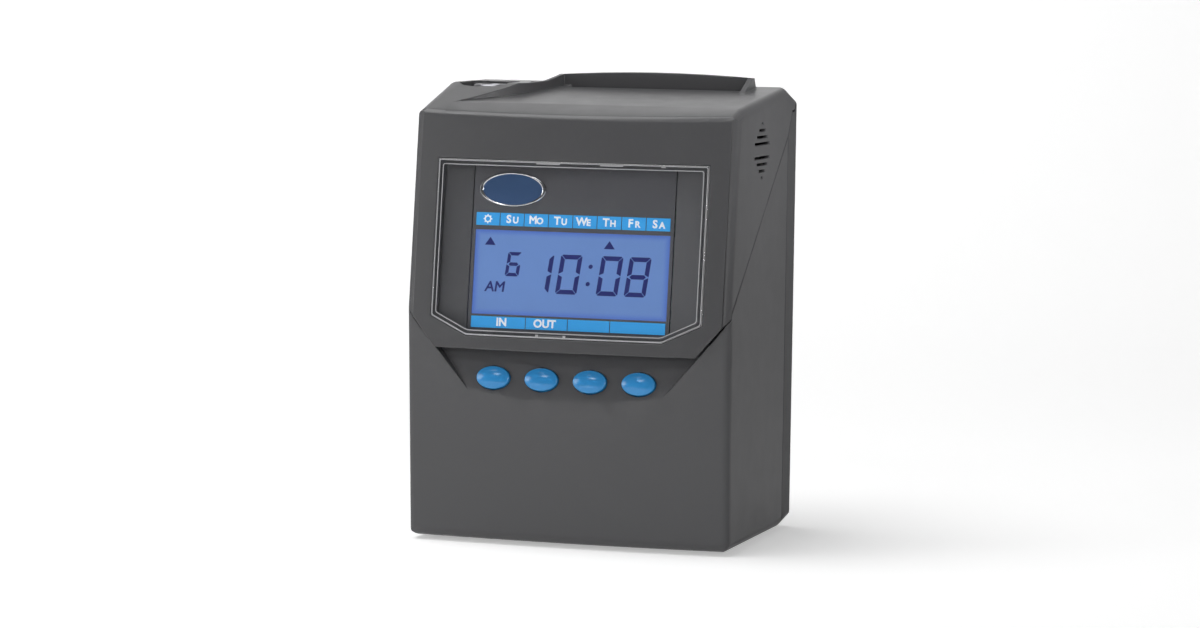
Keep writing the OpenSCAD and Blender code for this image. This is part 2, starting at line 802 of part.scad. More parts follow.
// Raised guide behind the card slot, with its swept wall and its fin
module card_guide() {
    top = deck_h + guide_end;
    arch_r = (guide_w * guide_w / 4 + guide_arch * guide_arch) / 2 / guide_arch;
    low = throat_z;
    intersection() {
        along_x(guide_left, guide_right) polygon([[guide_y, low], [guide_y, reach], [guide_y + guide_t, reach],
            [guide_y + guide_t, top + guide_arch], [guide_y + guide_t + guide_back, deck_h - wall],
            [guide_y + guide_t + guide_back, low]]);
        along_y(guide_y - 1, guide_y + reach) intersection() {
            translate([guide_left, low]) square([guide_w, reach]);
            translate([slot_x, top + guide_arch - arch_r]) circle(r = arch_r, $fn = 2 * fine);
        }
    }
    difference() {
        intersection() {
            left_deck(0);
            along_x(-half_w, slot_x) polygon([[guide_y - sweep_run, low], [guide_y - sweep_run, deck_h],
                [guide_y - sweep_run / 2, deck_h + guide_end / 4], [guide_y, top], [guide_y + guide_t, top],
                [guide_y + guide_t, low]]);
        }
        left_deck(guide_t);
    }
    along_x(guide_right - guide_t, guide_right) polygon([[guide_y - fin_run, low],
        [guide_y - fin_run, ramp_z(guide_y - fin_run)], [guide_y, top], [guide_y + guide_t, top],
        [guide_y + guide_t, low]]);
}

// Outer pieces of the case

// Upper cover with the face, the deck and the card throat
module hood() {
    on_feet() color([0.27, 0.27, 0.28]) difference() {
        union() {
            intersection() {
                union() {
                    difference() {
                        hood_form(0);
                        hood_form(wall);
                    }
                    intersection() {
                        hood_form(0);
                        union() {
                            box([slot_x - slot_w / 2 - throat_wall, lip_y - throat_wall, throat_z],
                                [slot_x + slot_w / 2 + throat_wall, guide_y + throat_wall, reach]);
                            translate([0, 0, pocket_z - wall]) linear_extrude(reach) pocket_plan(wall);
                        }
                    }
                    intersection() {
                        difference() {
                            hood_form(lens_t);
                            hood_form(lens_t + ledge_t);
                        }
                        lens_prism(2 * ledge);
                    }
                }
                along_x(-half_w - 1, half_w + 1) hood_side(0);
                along_y(-reach, reach) notch_front(-seam, reach);
            }
            intersection() {
                rod_x(-half_w - 1, half_w + 1, hinge_y, hinge_z, knuckle_r - skim);
                hood_form(0);
            }
            difference() {
                card_guide();
                hood_form(wall);
            }
        }
        box([slot_x - slot_w / 2, lip_y, throat_z - 1], [slot_x + slot_w / 2, guide_y, reach]);
        translate([0, 0, pocket_z]) linear_extrude(reach) pocket_plan(0);
        translate([-lock_left, lock_y, barrel_z]) cylinder(r = barrel_r + seat_fit, h = barrel_len + 1);
        difference() {
            lens_prism(lens_gap);
            hood_form(lens_t);
        }
        lens_prism(-ledge);
        vents();
        lug_spaces(knuckle_r + seam, seam);
        for (s = [-1, 1]) rod_x(s * lug_x - lug_w / 2 - pin_over - 1, s * lug_x + lug_w / 2 + pin_over + 1,
            hinge_y, hinge_z, pin_r + run_fit);
    }
}

// Clear window that follows the bowed face
module window_lens() {
    on_feet() color([0.75, 0.8, 0.85, 0.35]) intersection() {
        difference() {
            hood_form(0);
            hood_form(lens_t);
        }
        lens_prism(0);
    }
}

// Post of the switch board behind the button panel
module key_posts(r, len) {
    x = (button_n - 1) / 2 * button_pitch + button_w / 2 + button_flange + screw_r + 1.6;
    for (s = [-1, 1]) translate([s * x, wall - eps, button_up]) rotate([-90, 0, 0]) cylinder(r = r, h = len);
}

// Lower front, sides and floor, with the button recess
module lower_housing() {
    rear = seam_y - seam / 2;
    on_feet() color([0.3, 0.3, 0.31]) difference() {
        union() {
            intersection() {
                difference() {
                    tub_form(0);
                    notch(0);
                    chin_room();
                    difference() {
                        tub_form(wall);
                        notch(wall);
                    }
                }
                along_x(-half_w - 1, half_w + 1) polygon([[-reach, -1], [rear, -1], [rear, split_z(rear) - seam],
                    [-reach, split_z(-reach) - seam]]);
            }
            intersection() {
                union() {
                    for (x = [plate_l + 7, plate_r - 6], y = [chassis_front + 6, chute_y1 + 5])
                        translate([x, y, wall - eps]) cylinder(r = boss_r, h = chassis_h - wall + eps);
                    for (s = [-1, 1], z = [screw_low, screw_high])
                        rod_y(seam_y - 14, seam_y, s * (half_w - wall - boss_r + 0.5), z, boss_r);
                    on_panel() key_posts(screw_r + 1, key_room + eps);
                }
                tub_form(wall / 2);
            }
        }
        for (x = [plate_l + 7, plate_r - 6], y = [chassis_front + 6, chute_y1 + 5])
            translate([x, y, wall]) cylinder(r = screw_r, h = chassis_h);
        for (s = [-1, 1], z = [screw_low, screw_high])
            rod_y(seam_y - 12, seam_y + 1, s * (half_w - wall - boss_r + 0.5), z, screw_r);
        for (i = [0:button_n - 1]) on_panel() translate([button_x0 + i * button_pitch, 0, button_up])
            rotate([90, 0, 0]) linear_extrude(4 * wall, center = true)
                polygon(ellipse(button_w + 2 * button_gap, button_h + 2 * button_gap));
    }
}

// Tray that closes the back, with the hinge lugs and the wall keyholes
module rear_cover() {
    boss_x = half_w - wall - boss_r + 0.5;
    cup = 3;
    on_feet() color([0.26, 0.26, 0.27]) difference() {
        union() {
            difference() {
                intersection() {
                    difference() {
                        rear_form(0);
                        rear_form(wall);
                    }
                    box([-half_w - 1, seam_y + seam / 2, -1], [half_w + 1, back_y + 1, deck_h + 1]);
                }
                along_x(-half_w - 1, half_w + 1) hood_side(seam);
                rod_x(-half_w - 1, half_w + 1, hinge_y, hinge_z, knuckle_r + hinge_room);
            }
            for (s = [-1, 1], z = [screw_low, screw_high])
                rod_y(seam_y, back_y - wall / 2, s * boss_x, z, boss_r);
            lug_spaces(knuckle_r, 0);
            for (s = [-1, 1]) box([s * lug_x - lug_w / 2, hinge_y, hinge_z - knuckle_r],
                [s * lug_x + lug_w / 2, back_y - wall / 2, hinge_z]);
        }
        lug_spaces(pin_r + seat_fit, 1);
        for (s = [-1, 1], z = [screw_low, screw_high]) {
            rod_y(seam_y - 1, back_y + 1, s * boss_x, z, screw_r);
            rod_y(back_y - cup, back_y + 1, s * boss_x, z, head_r + 0.3);
        }
        for (s = [-1, 1]) translate([s * keyhole_span / 2, back_y, keyhole_h]) rotate([90, 0, 0])
            linear_extrude(4 * wall, center = true) {
                circle(r = keyhole_r);
                translate([-keyslot_r, 0]) square([2 * keyslot_r, keyslot_len]);
                translate([0, keyslot_len]) circle(r = keyslot_r);
            }
        rod_y(back_y - 2 * wall, back_y + 1, -jack_left, jack_h, 2 * jack_r + run_fit);
    }
}

// Four rubber feet
module feet() {
    edge = foot_h / 2;
    color([0.08, 0.08, 0.08]) for (x = [-1, 1], y = [low_y + foot_inset, seam_y - foot_r - 1])
        translate([x * (half_w - foot_inset), y, 0]) rotate_extrude()
            polygon([[0, 0], [foot_r - edge, 0], [foot_r, edge], [foot_r, foot_h], [0, foot_h]]);
}

// Screws that hold the rear cover
module rear_screws() {
    on_feet() color([0.6, 0.6, 0.62]) for (s = [-1, 1], z = [screw_low, screw_high])
        translate([s * (half_w - wall - boss_r + 0.5), back_y - 3, z]) rotate([-90, 0, 0]) screw(rear_deep + 4);
}

// Two pins that carry the hood
module hinge_pins() {
    on_feet() color([0.7, 0.7, 0.72]) for (s = [-1, 1])
        rod_x(s * lug_x - lug_w / 2 - pin_over, s * lug_x + lug_w / 2 + pin_over, hinge_y, hinge_z, pin_r);
}

// Display

// Plate in the face frame: width, top and bottom below the brow, depth of its front, thickness
module face_plate(w, top, bottom, deep, t) {
    box([-w / 2 - display_left, deep, -bottom], [w / 2 - display_left, deep + t, -top]);
}

// Sloping frame between the window and the overlay
module display_bezel() {
    deep = carrier_deep - carrier_t - bezel_deep;
    w0 = lens_w - 2 * ledge;
    top = overlay_top - 1;
    bottom = overlay_bottom + seam / 2;
    on_feet() color([0.2, 0.2, 0.21]) on_face() difference() {
        face_plate(w0, top - 2 * bezel_rim, bottom + bezel_rim, bezel_deep, deep);
        hull() {
            face_plate(w0 - 2 * bezel_rim, top - bezel_rim, bottom, bezel_deep - 1, 1);
            face_plate(overlay_w + 2 * seam, overlay_top - seam, overlay_bottom + seam, overlay_deep, eps);
        }
        face_plate(overlay_w + 2 * seam, overlay_top - seam, overlay_bottom + seam, overlay_deep - eps, deep);
    }
}

// Dark panel round the display glass
module overlay_panel() {
    on_feet() color([0.3, 0.3, 0.31]) on_face() difference() {
        face_plate(overlay_w, overlay_top, overlay_bottom, overlay_deep, overlay_t);
        face_plate(lcd_w, lcd_top, lcd_top + lcd_h, overlay_deep - 1, overlay_t + 2);
    }
}

// Row of coloured cells on the overlay, divided at a pitch from its middle
module cells(n, pitch, top, h) {
    on_face() translate([-display_left, overlay_deep - strip_t, 0]) for (i = [0:n - 1]) {
        left = i == 0 ? -lcd_w / 2 : (i - n / 2) * pitch;
        right = i == n - 1 ? lcd_w / 2 : (i + 1 - n / 2) * pitch;
        box([left + cell_gap / 2, 0, -top - h], [right - cell_gap / 2, strip_t, -top]);
    }
}

// Blue cells of the weekdays
module day_strip() {
    on_feet() color([0.2, 0.58, 0.84]) cells(day_cells, lcd_w / day_cells, day_top, day_h);
}

// Blue cells above the buttons' functions
module function_strip() {
    on_feet() color([0.2, 0.58, 0.84]) cells(func_cells, func_inner, func_top, func_h);
}

// Bare oval plate on the overlay
module badge() {
    rim = 1.2;
    on_feet() color([0.15, 0.25, 0.45]) on_face() translate([-badge_left, overlay_deep, -overlay_top - badge_drop])
        rotate([90, 0, 0]) {
            linear_extrude(badge_t - 0.3) polygon(ellipse(badge_w, badge_h));
            linear_extrude(badge_t) difference() {
                polygon(ellipse(badge_w, badge_h));
                polygon(ellipse(badge_w - 2 * rim, badge_h - 2 * rim));
            }
        }
}

// Display glass behind the overlay's opening
module lcd_panel() {
    edge = 1;
    on_feet() color([0.42, 0.55, 0.78]) on_face() union() {
        face_plate(lcd_w - 2 * run_fit, lcd_top + run_fit, lcd_top + lcd_h - run_fit, overlay_deep + 0.4, lcd_t);
        face_plate(lcd_w + 2 * edge, lcd_top - edge, lcd_top + lcd_h + edge, overlay_deep + overlay_t, lcd_t);
    }
}

// Light box behind the glass
module backlight() {
    on_feet() color([0.9, 0.92, 0.95]) on_face()
        face_plate(lcd_w, lcd_top, lcd_top + lcd_h, light_deep, light_t);
}

// Circuit board behind the light box
module display_board() {
    on_feet() color([0.1, 0.35, 0.2]) on_face()
        face_plate(overlay_w, lcd_top - 14, overlay_bottom, display_board_deep, board_t);
}

// Carrier plate with two arms back to the chassis plates
module display_carrier() {
    arm_top = rail_z + 22;
    arm_low = rail_z + 6;
    rear = plate_front + 10;
    half = lens_w / 2 - ledge;
    on_feet() color([0.35, 0.35, 0.36]) union() {
        on_face() box([min(-half - display_left, plate_l - 1), carrier_deep - carrier_t, -overlay_bottom - 1],
            [max(half - display_left, plate_r + 1), carrier_deep, -overlay_top + 1]);
        for (x = [plate_l, plate_r - carrier_t]) difference() {
            box([x, face_y(arm_top), arm_low], [x + carrier_t, rear, arm_top]);
            on_face() box([-reach, -reach, -reach], [reach, carrier_deep - eps, reach]);
        }
    }
}

// Buttons

// One domed oval button with its flange and stem, in the panel frame
module button(i) {
    top = button_proud + button_dome;
    dome_r = (button_w * button_w / 4 + button_dome * button_dome) / 2 / button_dome;
    flange_t = 1.2;
    stem_r = 2;
    stem = key_room - 3.4 - button_travel - 0.2;
    on_feet() color([0.14, 0.5, 0.77]) on_panel()
        translate([button_x0 + i * button_pitch, 0, button_up]) rotate([90, 0, 0]) {
            intersection() {
                translate([0, 0, -wall - eps]) linear_extrude(wall + top + 1) polygon(ellipse(button_w, button_h));
                translate([0, 0, top - dome_r]) sphere(r = dome_r, $fn = fine);
            }
            translate([0, 0, -wall - 0.15 - flange_t]) linear_extrude(flange_t)
                polygon(ellipse(button_w + 2 * button_flange, button_h + 2 * button_flange));
            translate([0, 0, -wall - 0.15 - eps]) linear_extrude(0.3) polygon(ellipse(button_w, button_h));
            translate([0, 0, -wall - stem]) cylinder(r = stem_r, h = stem);
        }
}

module button_1() {
    button(0);
}

module button_2() {
    button(1);
}

module button_3() {
    button(2);
}

module button_4() {
    button(3);
}

// Switch board on its two posts
module key_board() {
    w = 4.4 * button_pitch;
    h = 12;
    on_feet() color([0.1, 0.35, 0.2]) on_panel()
        box([-w / 2, key_deep, button_up - h / 2], [w / 2, key_deep + board_t, button_up + h / 2]);
}

// Four switches on the switch board
module key_switches() {
    size = 6;
    body_t = 2.4;
    on_feet() color([0.12, 0.12, 0.12]) on_panel() for (i = [0:button_n - 1])
        translate([button_x0 + i * button_pitch, key_deep, button_up]) rotate([90, 0, 0]) {
            translate([-size / 2, -size / 2, 0]) cube([size, size, body_t]);
            translate([0, 0, body_t - eps]) cylinder(r = 1.7, h = 1);
        }
}

// Key lock

// Fixed body of the lock with its bezel
module lock_barrel() {
    chamfer = 0.8;
    on_feet() color([0.8, 0.8, 0.82]) translate([-lock_left, lock_y, pocket_z]) rotate_extrude()
        polygon([[plug_r + run_fit, -barrel_len], [barrel_r, -barrel_len], [barrel_r, 0], [bezel_r, 0],
            [bezel_r, bezel_h - chamfer], [bezel_r - chamfer, bezel_h], [plug_r + 1, bezel_h],
            [plug_r + run_fit, bezel_h - chamfer]]);
}

// Turning plug with its keyway and tail
module lock_plug() {
    len = barrel_len + bezel_h - 1;
    on_feet() color([0.72, 0.72, 0.74]) translate([-lock_left, lock_y, 0]) difference() {
        union() {
            translate([0, 0, barrel_z]) cylinder(r = plug_r, h = len);
            translate([0, 0, cam_z + cam_t]) cylinder(r = tail_r, h = tail_drop + eps);
        }
        translate([-keyway_w / 2, -plug_r * 0.7, barrel_z + len - 10]) cube([keyway_w, plug_r * 1.4, 11]);
    }
}

// Tongue on the plug's tail
module lock_cam() {
    w = 6;
    on_feet() color([0.62, 0.62, 0.64]) translate([-lock_left, lock_y, cam_z]) {
        cylinder(r = cam_hub_r, h = cam_t);
        translate([-w / 2, -cam_reach + w / 2, 0]) cube([w, cam_reach - w / 2, cam_t]);
        translate([0, -cam_reach + w / 2, 0]) cylinder(r = w / 2, h = cam_t);
    }
}

// Chassis and card chute

// Side plate of the chassis with its holes
module side_plate(x) {
    difference() {
        box([x, plate_front, chassis_h], [x + sheet, plate_back, plate_h]);
        rod_x(x - 1, x + sheet + 1, feed_y, feed_h, bush_r + seat_fit);
        rod_x(x - 1, x + sheet + 1, rod_y, rod_h, rod_r + seat_fit);
        rod_x(x - 1, x + sheet + 1, pivot_y, pivot_z, pivot_r + seat_fit);
        rod_x(x - 1, x + sheet + 1, idler_y, idler_z, idler_pin_r + seat_fit);
        rod_x(x - 1, x + sheet + 1, pinion_y, pinion_z, 4 * motor_pin_r);
    }
}

// Sheet steel frame: floor, two side plates, belt tabs, board studs and the lock's keeper
module chassis() {
    tab = 27;
    stud_r = 2.5;
    on_feet() color([0.68, 0.7, 0.72]) difference() {
        union() {
            box([plate_l - sheet, chassis_front, chassis_h], [plate_r + sheet, plate_back, base_top]);
            side_plate(plate_l - sheet);
            side_plate(plate_r);
            box([plate_l - sheet, plate_front - sheet, belt_z - 19],
                [plate_l + tab, plate_front + eps, belt_z + 19]);
            box([plate_r - tab + 10, plate_front - sheet, belt_z - 10],
                [plate_r + sheet, plate_front + eps, belt_z + 10]);
            box([-lock_left + 6, lock_y - 6, keeper_z], [plate_l, lock_y + 6, keeper_z + sheet]);
            for (x = [plate_l + 6, plate_r - 6], y = [chassis_front + 16, chute_y0 - 6])
                translate([x, y, base_top - eps]) cylinder(r = stud_r, h = main_z - base_top + eps);
        }
        for (x = [plate_l + 7, plate_r - 6], y = [chassis_front + 6, chute_y1 + 5])
            translate([x, y, 0]) cylinder(r = screw_r + 0.2, h = base_top + 1);
        rod_y(plate_front - 3, plate_front + 1, plate_l + pulley_in, belt_z, 4 * motor_pin_r);
        rod_y(plate_front - 3, plate_front + 1, plate_r - pulley_in, belt_z, idler_pin_r + seat_fit);
    }
}

// Screws through the chassis floor
module chassis_screws() {
    on_feet() color([0.7, 0.7, 0.72]) for (x = [plate_l + 7, plate_r - 6], y = [chassis_front + 6, chute_y1 + 5])
        translate([x, y, base_top]) screw(sheet + chassis_h - wall - 1);
}

// Guide plate of the chute with windows: y of its face towards the front, roller and print windows
module chute_plate(y) {
    window_h = roller_r + 1.5;
    difference() {
        box([plate_l, y, base_top], [plate_r, y + chute_t, chute_top]);
        for (s = [-1, 1]) box([slot_x + s * roller_off - roller_len / 2 - 1.5, y - 1, feed_h - window_h],
            [slot_x + s * roller_off + roller_len / 2 + 1.5, y + chute_t + 1, feed_h + window_h]);
        box([slot_x - carriage_go - 14, y - 1, print_h - 6.5], [slot_x + carriage_go + 14, y + chute_t + 1,
            print_h + 6.5]);
    }
}

// Front guide plate, with the slot of the sensor lever
module chute_front() {
    on_feet() color([0.75, 0.77, 0.78]) difference() {
        chute_plate(chute_y0 - chute_t);
        box([slot_x - 3, chute_y0 - chute_t - 1, sensor_h - 8], [slot_x + 3, chute_y0 + 1, sensor_h + 12]);
        for (s = [-1, 1]) translate([slot_x + s * (arm_off + arm_t / 2), chute_y0, feed_h])
            cube([arm_t + 2, 4 * chute_t, 2 * axle_r + 7], center = true);
    }
}

// Rear guide plate
module chute_rear() {
    on_feet() color([0.75, 0.77, 0.78]) chute_plate(chute_y1);
}

// Card feed

// Shaft of the feed rollers
module feed_shaft() {
    on_feet() color([0.75, 0.75, 0.77])
        rod_x(plate_l - sheet - 3, gear_x + gear_w + 1, feed_y, feed_h, shaft_r);
}

// Two rubber rollers on the feed shaft
module feed_rollers() {
    on_feet() color([0.1, 0.1, 0.1]) for (s = [-1, 1]) difference() {
        rod_x(slot_x + s * roller_off - roller_len / 2, slot_x + s * roller_off + roller_len / 2,
            feed_y, feed_h, roller_r);
        rod_x(slot_x - reach, slot_x + reach, feed_y, feed_h, shaft_r);
    }
}

// Flanged bushes of the feed shaft
module feed_bushes() {
    flange = 1;
    on_feet() color([0.72, 0.58, 0.3]) for (s = [-1, 1]) difference() {
        x = s < 0 ? plate_l - sheet : plate_r;
        union() {
            rod_x(x, x + sheet, feed_y, feed_h, bush_r);
            rod_x(s < 0 ? plate_l : plate_r - flange, s < 0 ? plate_l + flange : plate_r,
                feed_y, feed_h, bush_r + 0.8);
        }
        rod_x(x - 2, x + sheet + 2, feed_y, feed_h, shaft_r + run_fit);
    }
}

// Gear on the feed shaft
module feed_gear() {
    on_feet() color([0.85, 0.85, 0.8]) gear(feed_teeth, feed_y, feed_h, shaft_r, train_lean);
}

// Gear between the motor and the feed shaft
module idler_gear() {
    on_feet() color([0.85, 0.85, 0.8])
        gear(idler_teeth, idler_y, idler_z, idler_pin_r + run_fit, train_lean + 180 / idler_teeth);
}

// Pin of the idler gear
module idler_pin() {
    on_feet() color([0.7, 0.7, 0.72]) union() {
        rod_x(plate_r - 1, gear_x + gear_w + 1.2, idler_y, idler_z, idler_pin_r);
        rod_x(plate_r + sheet, gear_x - 0.3, idler_y, idler_z, idler_pin_r + 1.5);
    }
}

// Can of the feed motor, with its front boss
module feed_motor() {
    on_feet() color([0.6, 0.6, 0.62]) difference() {
        union() {
            rod_x(plate_r - motor_len, plate_r, pinion_y, pinion_z, motor_r);
            rod_x(plate_r - eps, plate_r + sheet, pinion_y, pinion_z, 4 * motor_pin_r - seat_fit);
        }
        rod_x(plate_r - 8, plate_r + 3, pinion_y, pinion_z, motor_pin_r + run_fit);
    }
}

// Pinion with the motor's shaft
module motor_pinion() {
    on_feet() color([0.75, 0.65, 0.35]) union() {
        gear(pinion_teeth, pinion_y, pinion_z, motor_pin_r - 0.2, train_lean + 180);
        rod_x(plate_r - 7, gear_x + gear_w + 1, pinion_y, pinion_z, motor_pin_r);
    }
}

// Sprung arm of the pinch rollers
module pinch_arm() {
    reach_y = pinch_y - pivot_y;
    reach_z = pinch_z() - pivot_z;
    len = sqrt(reach_y * reach_y + reach_z * reach_z);
    on_feet() color([0.3, 0.3, 0.32]) difference() {
        union() {
            rod_x(slot_x - arm_off - 1, slot_x + arm_off + 1, pivot_y, pivot_z, pivot_r + 1.5);
            for (s = [-1, 1]) {
                x = s < 0 ? slot_x - arm_off - arm_t : slot_x + arm_off;
                rod_x(x, x + arm_t, pivot_y, pivot_z, pivot_r + 2);
                rod_x(x, x + arm_t, pinch_y, pinch_z(), axle_r + 2);
                translate([x, pivot_y, pivot_z]) rotate([atan2(reach_z, reach_y), 0, 0])
                    translate([0, 0, -axle_r - 1.5]) cube([arm_t, len, 2 * axle_r + 3]);
            }
        }
        rod_x(slot_x - reach, slot_x + reach, pivot_y, pivot_z, pivot_r + run_fit);
        rod_x(slot_x - reach, slot_x + reach, pinch_y, pinch_z(), axle_r + run_fit);
    }
}

function pinch_z() = feed_h;

// Rod that the pinch arm pivots on
module pinch_rod() {
    on_feet() color([0.75, 0.75, 0.77]) rod_x(plate_l - sheet, plate_r + sheet, pivot_y, pivot_z, pivot_r);
}

// Axle of the pinch rollers
module pinch_axle() {
    on_feet() color([0.75, 0.75, 0.77])
        rod_x(slot_x - arm_off - arm_t - 1, slot_x + arm_off + arm_t + 1, pinch_y, pinch_z(), axle_r);
}

// Two pinch rollers on their axle
module pinch_rollers() {
    on_feet() color([0.12, 0.12, 0.12]) for (s = [-1, 1]) difference() {
        rod_x(slot_x + s * roller_off - roller_len / 2 + 1, slot_x + s * roller_off + roller_len / 2 - 1,
            pinch_y, pinch_z(), roller_r);
        rod_x(slot_x - reach, slot_x + reach, pinch_y, pinch_z(), axle_r);
    }
}

// Printer

// Carriage that runs on the rod and the rail
module carriage() {
    body_y = rod_y - 6;
    fork = 3;
    grip = 8;
    on_feet() color([0.15, 0.15, 0.16]) translate([slot_x, 0, 0]) difference() {
        union() {
            box([-carriage_w / 2, body_y, rod_h - 6], [carriage_w / 2, rod_y + 8, rail_z - 6]);
            box([-carriage_w / 2, rod_y - rod_r / 2 - fork - 0.4, rail_z - 6 - eps],
                [carriage_w / 2, rod_y + rod_r / 2 + fork + 0.4, rail_z + 2]);
            box([-grip / 2, belt_y - 1, belt_z + pulley_r - 2],
                [grip / 2, body_y + eps, belt_z + pulley_r + belt_t + 2.5]);
        }
        rod_x(-reach, reach, rod_y, rod_h, rod_r + run_fit);
        box([-reach, rod_y - rod_r / 2 - 0.4, rail_z - rod_r / 2 - 0.4],
            [reach, rod_y + rod_r / 2 + 0.4, rail_z + 3]);
        box([-reach, belt_y - 0.3, belt_z + pulley_r - 0.3],
            [reach, belt_y + belt_w + 0.3, belt_z + pulley_r + belt_t + 0.3]);
    }
}

// Dot matrix head with its nose at the card
module print_head() {
    head = carriage_w - 4;
    y0 = rod_y + 8;
    nose_tip = slot_y + 0.8;
    on_feet() color([0.35, 0.36, 0.38]) translate([slot_x, 0, 0]) union() {
        box([-head / 2, y0, print_h - 9], [head / 2, chute_y0 - chute_t - 1, print_h + 9]);
        for (i = [0:4]) box([-head / 2 - 1.5, y0 + 1, print_h - 8 + i * 3.6],
            [head / 2 + 1.5, chute_y0 - chute_t - 2.5, print_h - 6.6 + i * 3.6]);
        box([-4, chute_y0 - chute_t - 2, print_h - 3.5], [4, nose_tip, print_h + 3.5]);
    }
}

// Rod that carries the carriage
module guide_rod() {
    on_feet() color([0.78, 0.78, 0.8]) rod_x(plate_l - sheet - 1, plate_r + sheet + 1, rod_y, rod_h, rod_r);
}

// Square rail that keeps the carriage upright
module guide_rail() {
    on_feet() color([0.7, 0.7, 0.72]) box([plate_l, rod_y - rod_r / 2, rail_z - rod_r / 2],
        [plate_r, rod_y + rod_r / 2, rail_z + rod_r / 2]);
}

// Motor of the carriage, in front of its tab
module carriage_motor() {
    x = plate_l + pulley_in;
    y = plate_front - sheet;
    front = face_y(belt_z + belt_motor_r) + carrier_deep / cos(face_lean) + belt_motor_gap;
    on_feet() color([0.6, 0.6, 0.62]) difference() {
        union() {
            rod_y(front, y, x, belt_z, belt_motor_r);
            rod_y(y - eps, y + sheet, x, belt_z, 4 * motor_pin_r - seat_fit);
        }
        rod_y(y - 6, y + 3, x, belt_z, motor_pin_r + run_fit);
    }
}

// Belt pulley with rims, round a pin
module pulley(x, bore) {
    difference() {
        union() {
            rod_y(belt_y - 0.8, belt_y + belt_w + 0.8, x, belt_z, pulley_r - run_fit);
            rod_y(belt_y + belt_w + 0.3, belt_y + belt_w + 1, x, belt_z, pulley_r + 0.8);
            rod_y(belt_y - 1, belt_y - 0.3, x, belt_z, pulley_r + 0.8);
        }
        rod_y(belt_y - 2, belt_y + belt_w + 2, x, belt_z, bore);
    }
}

// Driving pulley with the motor's shaft
module motor_pulley() {
    x = plate_l + pulley_in;
    on_feet() color([0.8, 0.8, 0.76]) union() {
        pulley(x, motor_pin_r - 0.2);
        rod_y(plate_front - sheet - 5, belt_y + belt_w + 1.5, x, belt_z, motor_pin_r);
    }
}

// Idling pulley at the right end of the belt
module idler_pulley() {
    on_feet() color([0.8, 0.8, 0.76]) pulley(plate_r - pulley_in, idler_pin_r + run_fit);
}

// Pin of the idling pulley
module pulley_pin() {
    x = plate_r - pulley_in;
    on_feet() color([0.7, 0.7, 0.72]) union() {
        rod_y(plate_front - sheet - 1, belt_y + belt_w + 2, x, belt_z, idler_pin_r);
        rod_y(plate_front + eps, belt_y - 1.2, x, belt_z, idler_pin_r + 1.5);
    }
}

// Flat belt round both pulleys
module belt_loop(r) {
    x0 = plate_l + pulley_in;
    x1 = plate_r - pulley_in;
    translate([x0, belt_z]) circle(r = r);
    translate([x1, belt_z]) circle(r = r);
    translate([x0, belt_z - r]) square([x1 - x0, 2 * r]);
}

module carriage_belt() {
    on_feet() color([0.12, 0.12, 0.13]) along_y(belt_y, belt_y + belt_w) difference() {
        belt_loop(pulley_r + belt_t);
        belt_loop(pulley_r);
    }
}

// Bar behind the card at the print line
module platen_bar() {
    pad = carriage_go + 13;
    on_feet() color([0.2, 0.2, 0.2]) union() {
        box([plate_l, chute_y1 + chute_t + 0.2, print_h - 4], [plate_r, chute_y1 + chute_t + 3.4, print_h + 4]);
        box([slot_x - pad, slot_y + 2.2, print_h - 3], [slot_x + pad, chute_y1 + chute_t + 1, print_h + 3]);
    }
}

// Card sensor

sensor_y = chute_y0 - chute_t - 4.2;

// Lever that the card pushes down
module sensor_lever() {
    tip = 9;
    trunnion = 1.5;
    on_feet() color([0.1, 0.1, 0.1]) union() {
        rod_x(slot_x - 2, slot_x + 2, sensor_y, sensor_h, 3);
        rod_x(slot_x - 6, slot_x + 6, sensor_y, sensor_h, trunnion);
        translate([slot_x - 1.5, sensor_y, sensor_h]) rotate([28, 0, 0]) {
            translate([0, 0, -trunnion]) cube([3, tip, 2 * trunnion]);
            rod_x(0, 3, tip, 0, trunnion);
        }
    }
}

// Bracket of the sensor lever on the front guide plate
module sensor_bracket() {
    on_feet() color([0.25, 0.25, 0.26]) difference() {
        box([slot_x - 8, sensor_y - 5, sensor_h - 7], [slot_x + 8, chute_y0 - chute_t, sensor_h + 6]);
        box([slot_x - 3, sensor_y - 6, sensor_h - 8], [slot_x + 3, chute_y0, sensor_h + 7]);
        rod_x(slot_x - 6.3, slot_x + 6.3, sensor_y, sensor_h, 1.5 + run_fit);
    }
    on_feet() color([0.25, 0.25, 0.26]) box([slot_x - 8, sensor_y - 7, sensor_h - 7],
        [slot_x + 8, sensor_y - 5 + eps, sensor_h + 6]);
}

// Electronics

board_x0 = plate_l + 2;
board_x1 = plate_r - 2;
board_y0 = chassis_front + 12;
board_y1 = chute_y0 - 3;

// Main circuit board on the chassis studs
module main_board() {
    on_feet() color([0.1, 0.35, 0.2])
        box([board_x0, board_y0, main_z], [board_x1, board_y1, main_z + board_t]);
}

// Capacitors, chips, sockets and a relay on the main board
module board_parts() {
    z = main_z + board_t;
    on_feet() {
        color([0.15, 0.2, 0.45]) for (i = [0:3])
            translate([board_x0 + can_pitch * (i + 1), board_y1 - 2 * can_r, z]) cylinder(r = can_r, h = can_h);
        color([0.08, 0.08, 0.08]) for (i = [0:2])
            translate([board_x0 + chip_pitch * (i + 0.5), board_y0 + 1.2 * chip_d, z])
                cube([chip_w, chip_d, chip_d / 3]);
        color([0.9, 0.9, 0.85]) for (i = [0:3])
            translate([board_x1 - 1.75 * plug_w, board_y0 + plug_pitch * (i + 0.5), z])
                cube([plug_w, plug_d, plug_w]);
        color([0.1, 0.3, 0.6]) translate([board_x1 - 2.2 * relay_w, board_y1 - 1.3 * relay_d, z])
            cube([relay_w, relay_d, can_h]);
    }
}

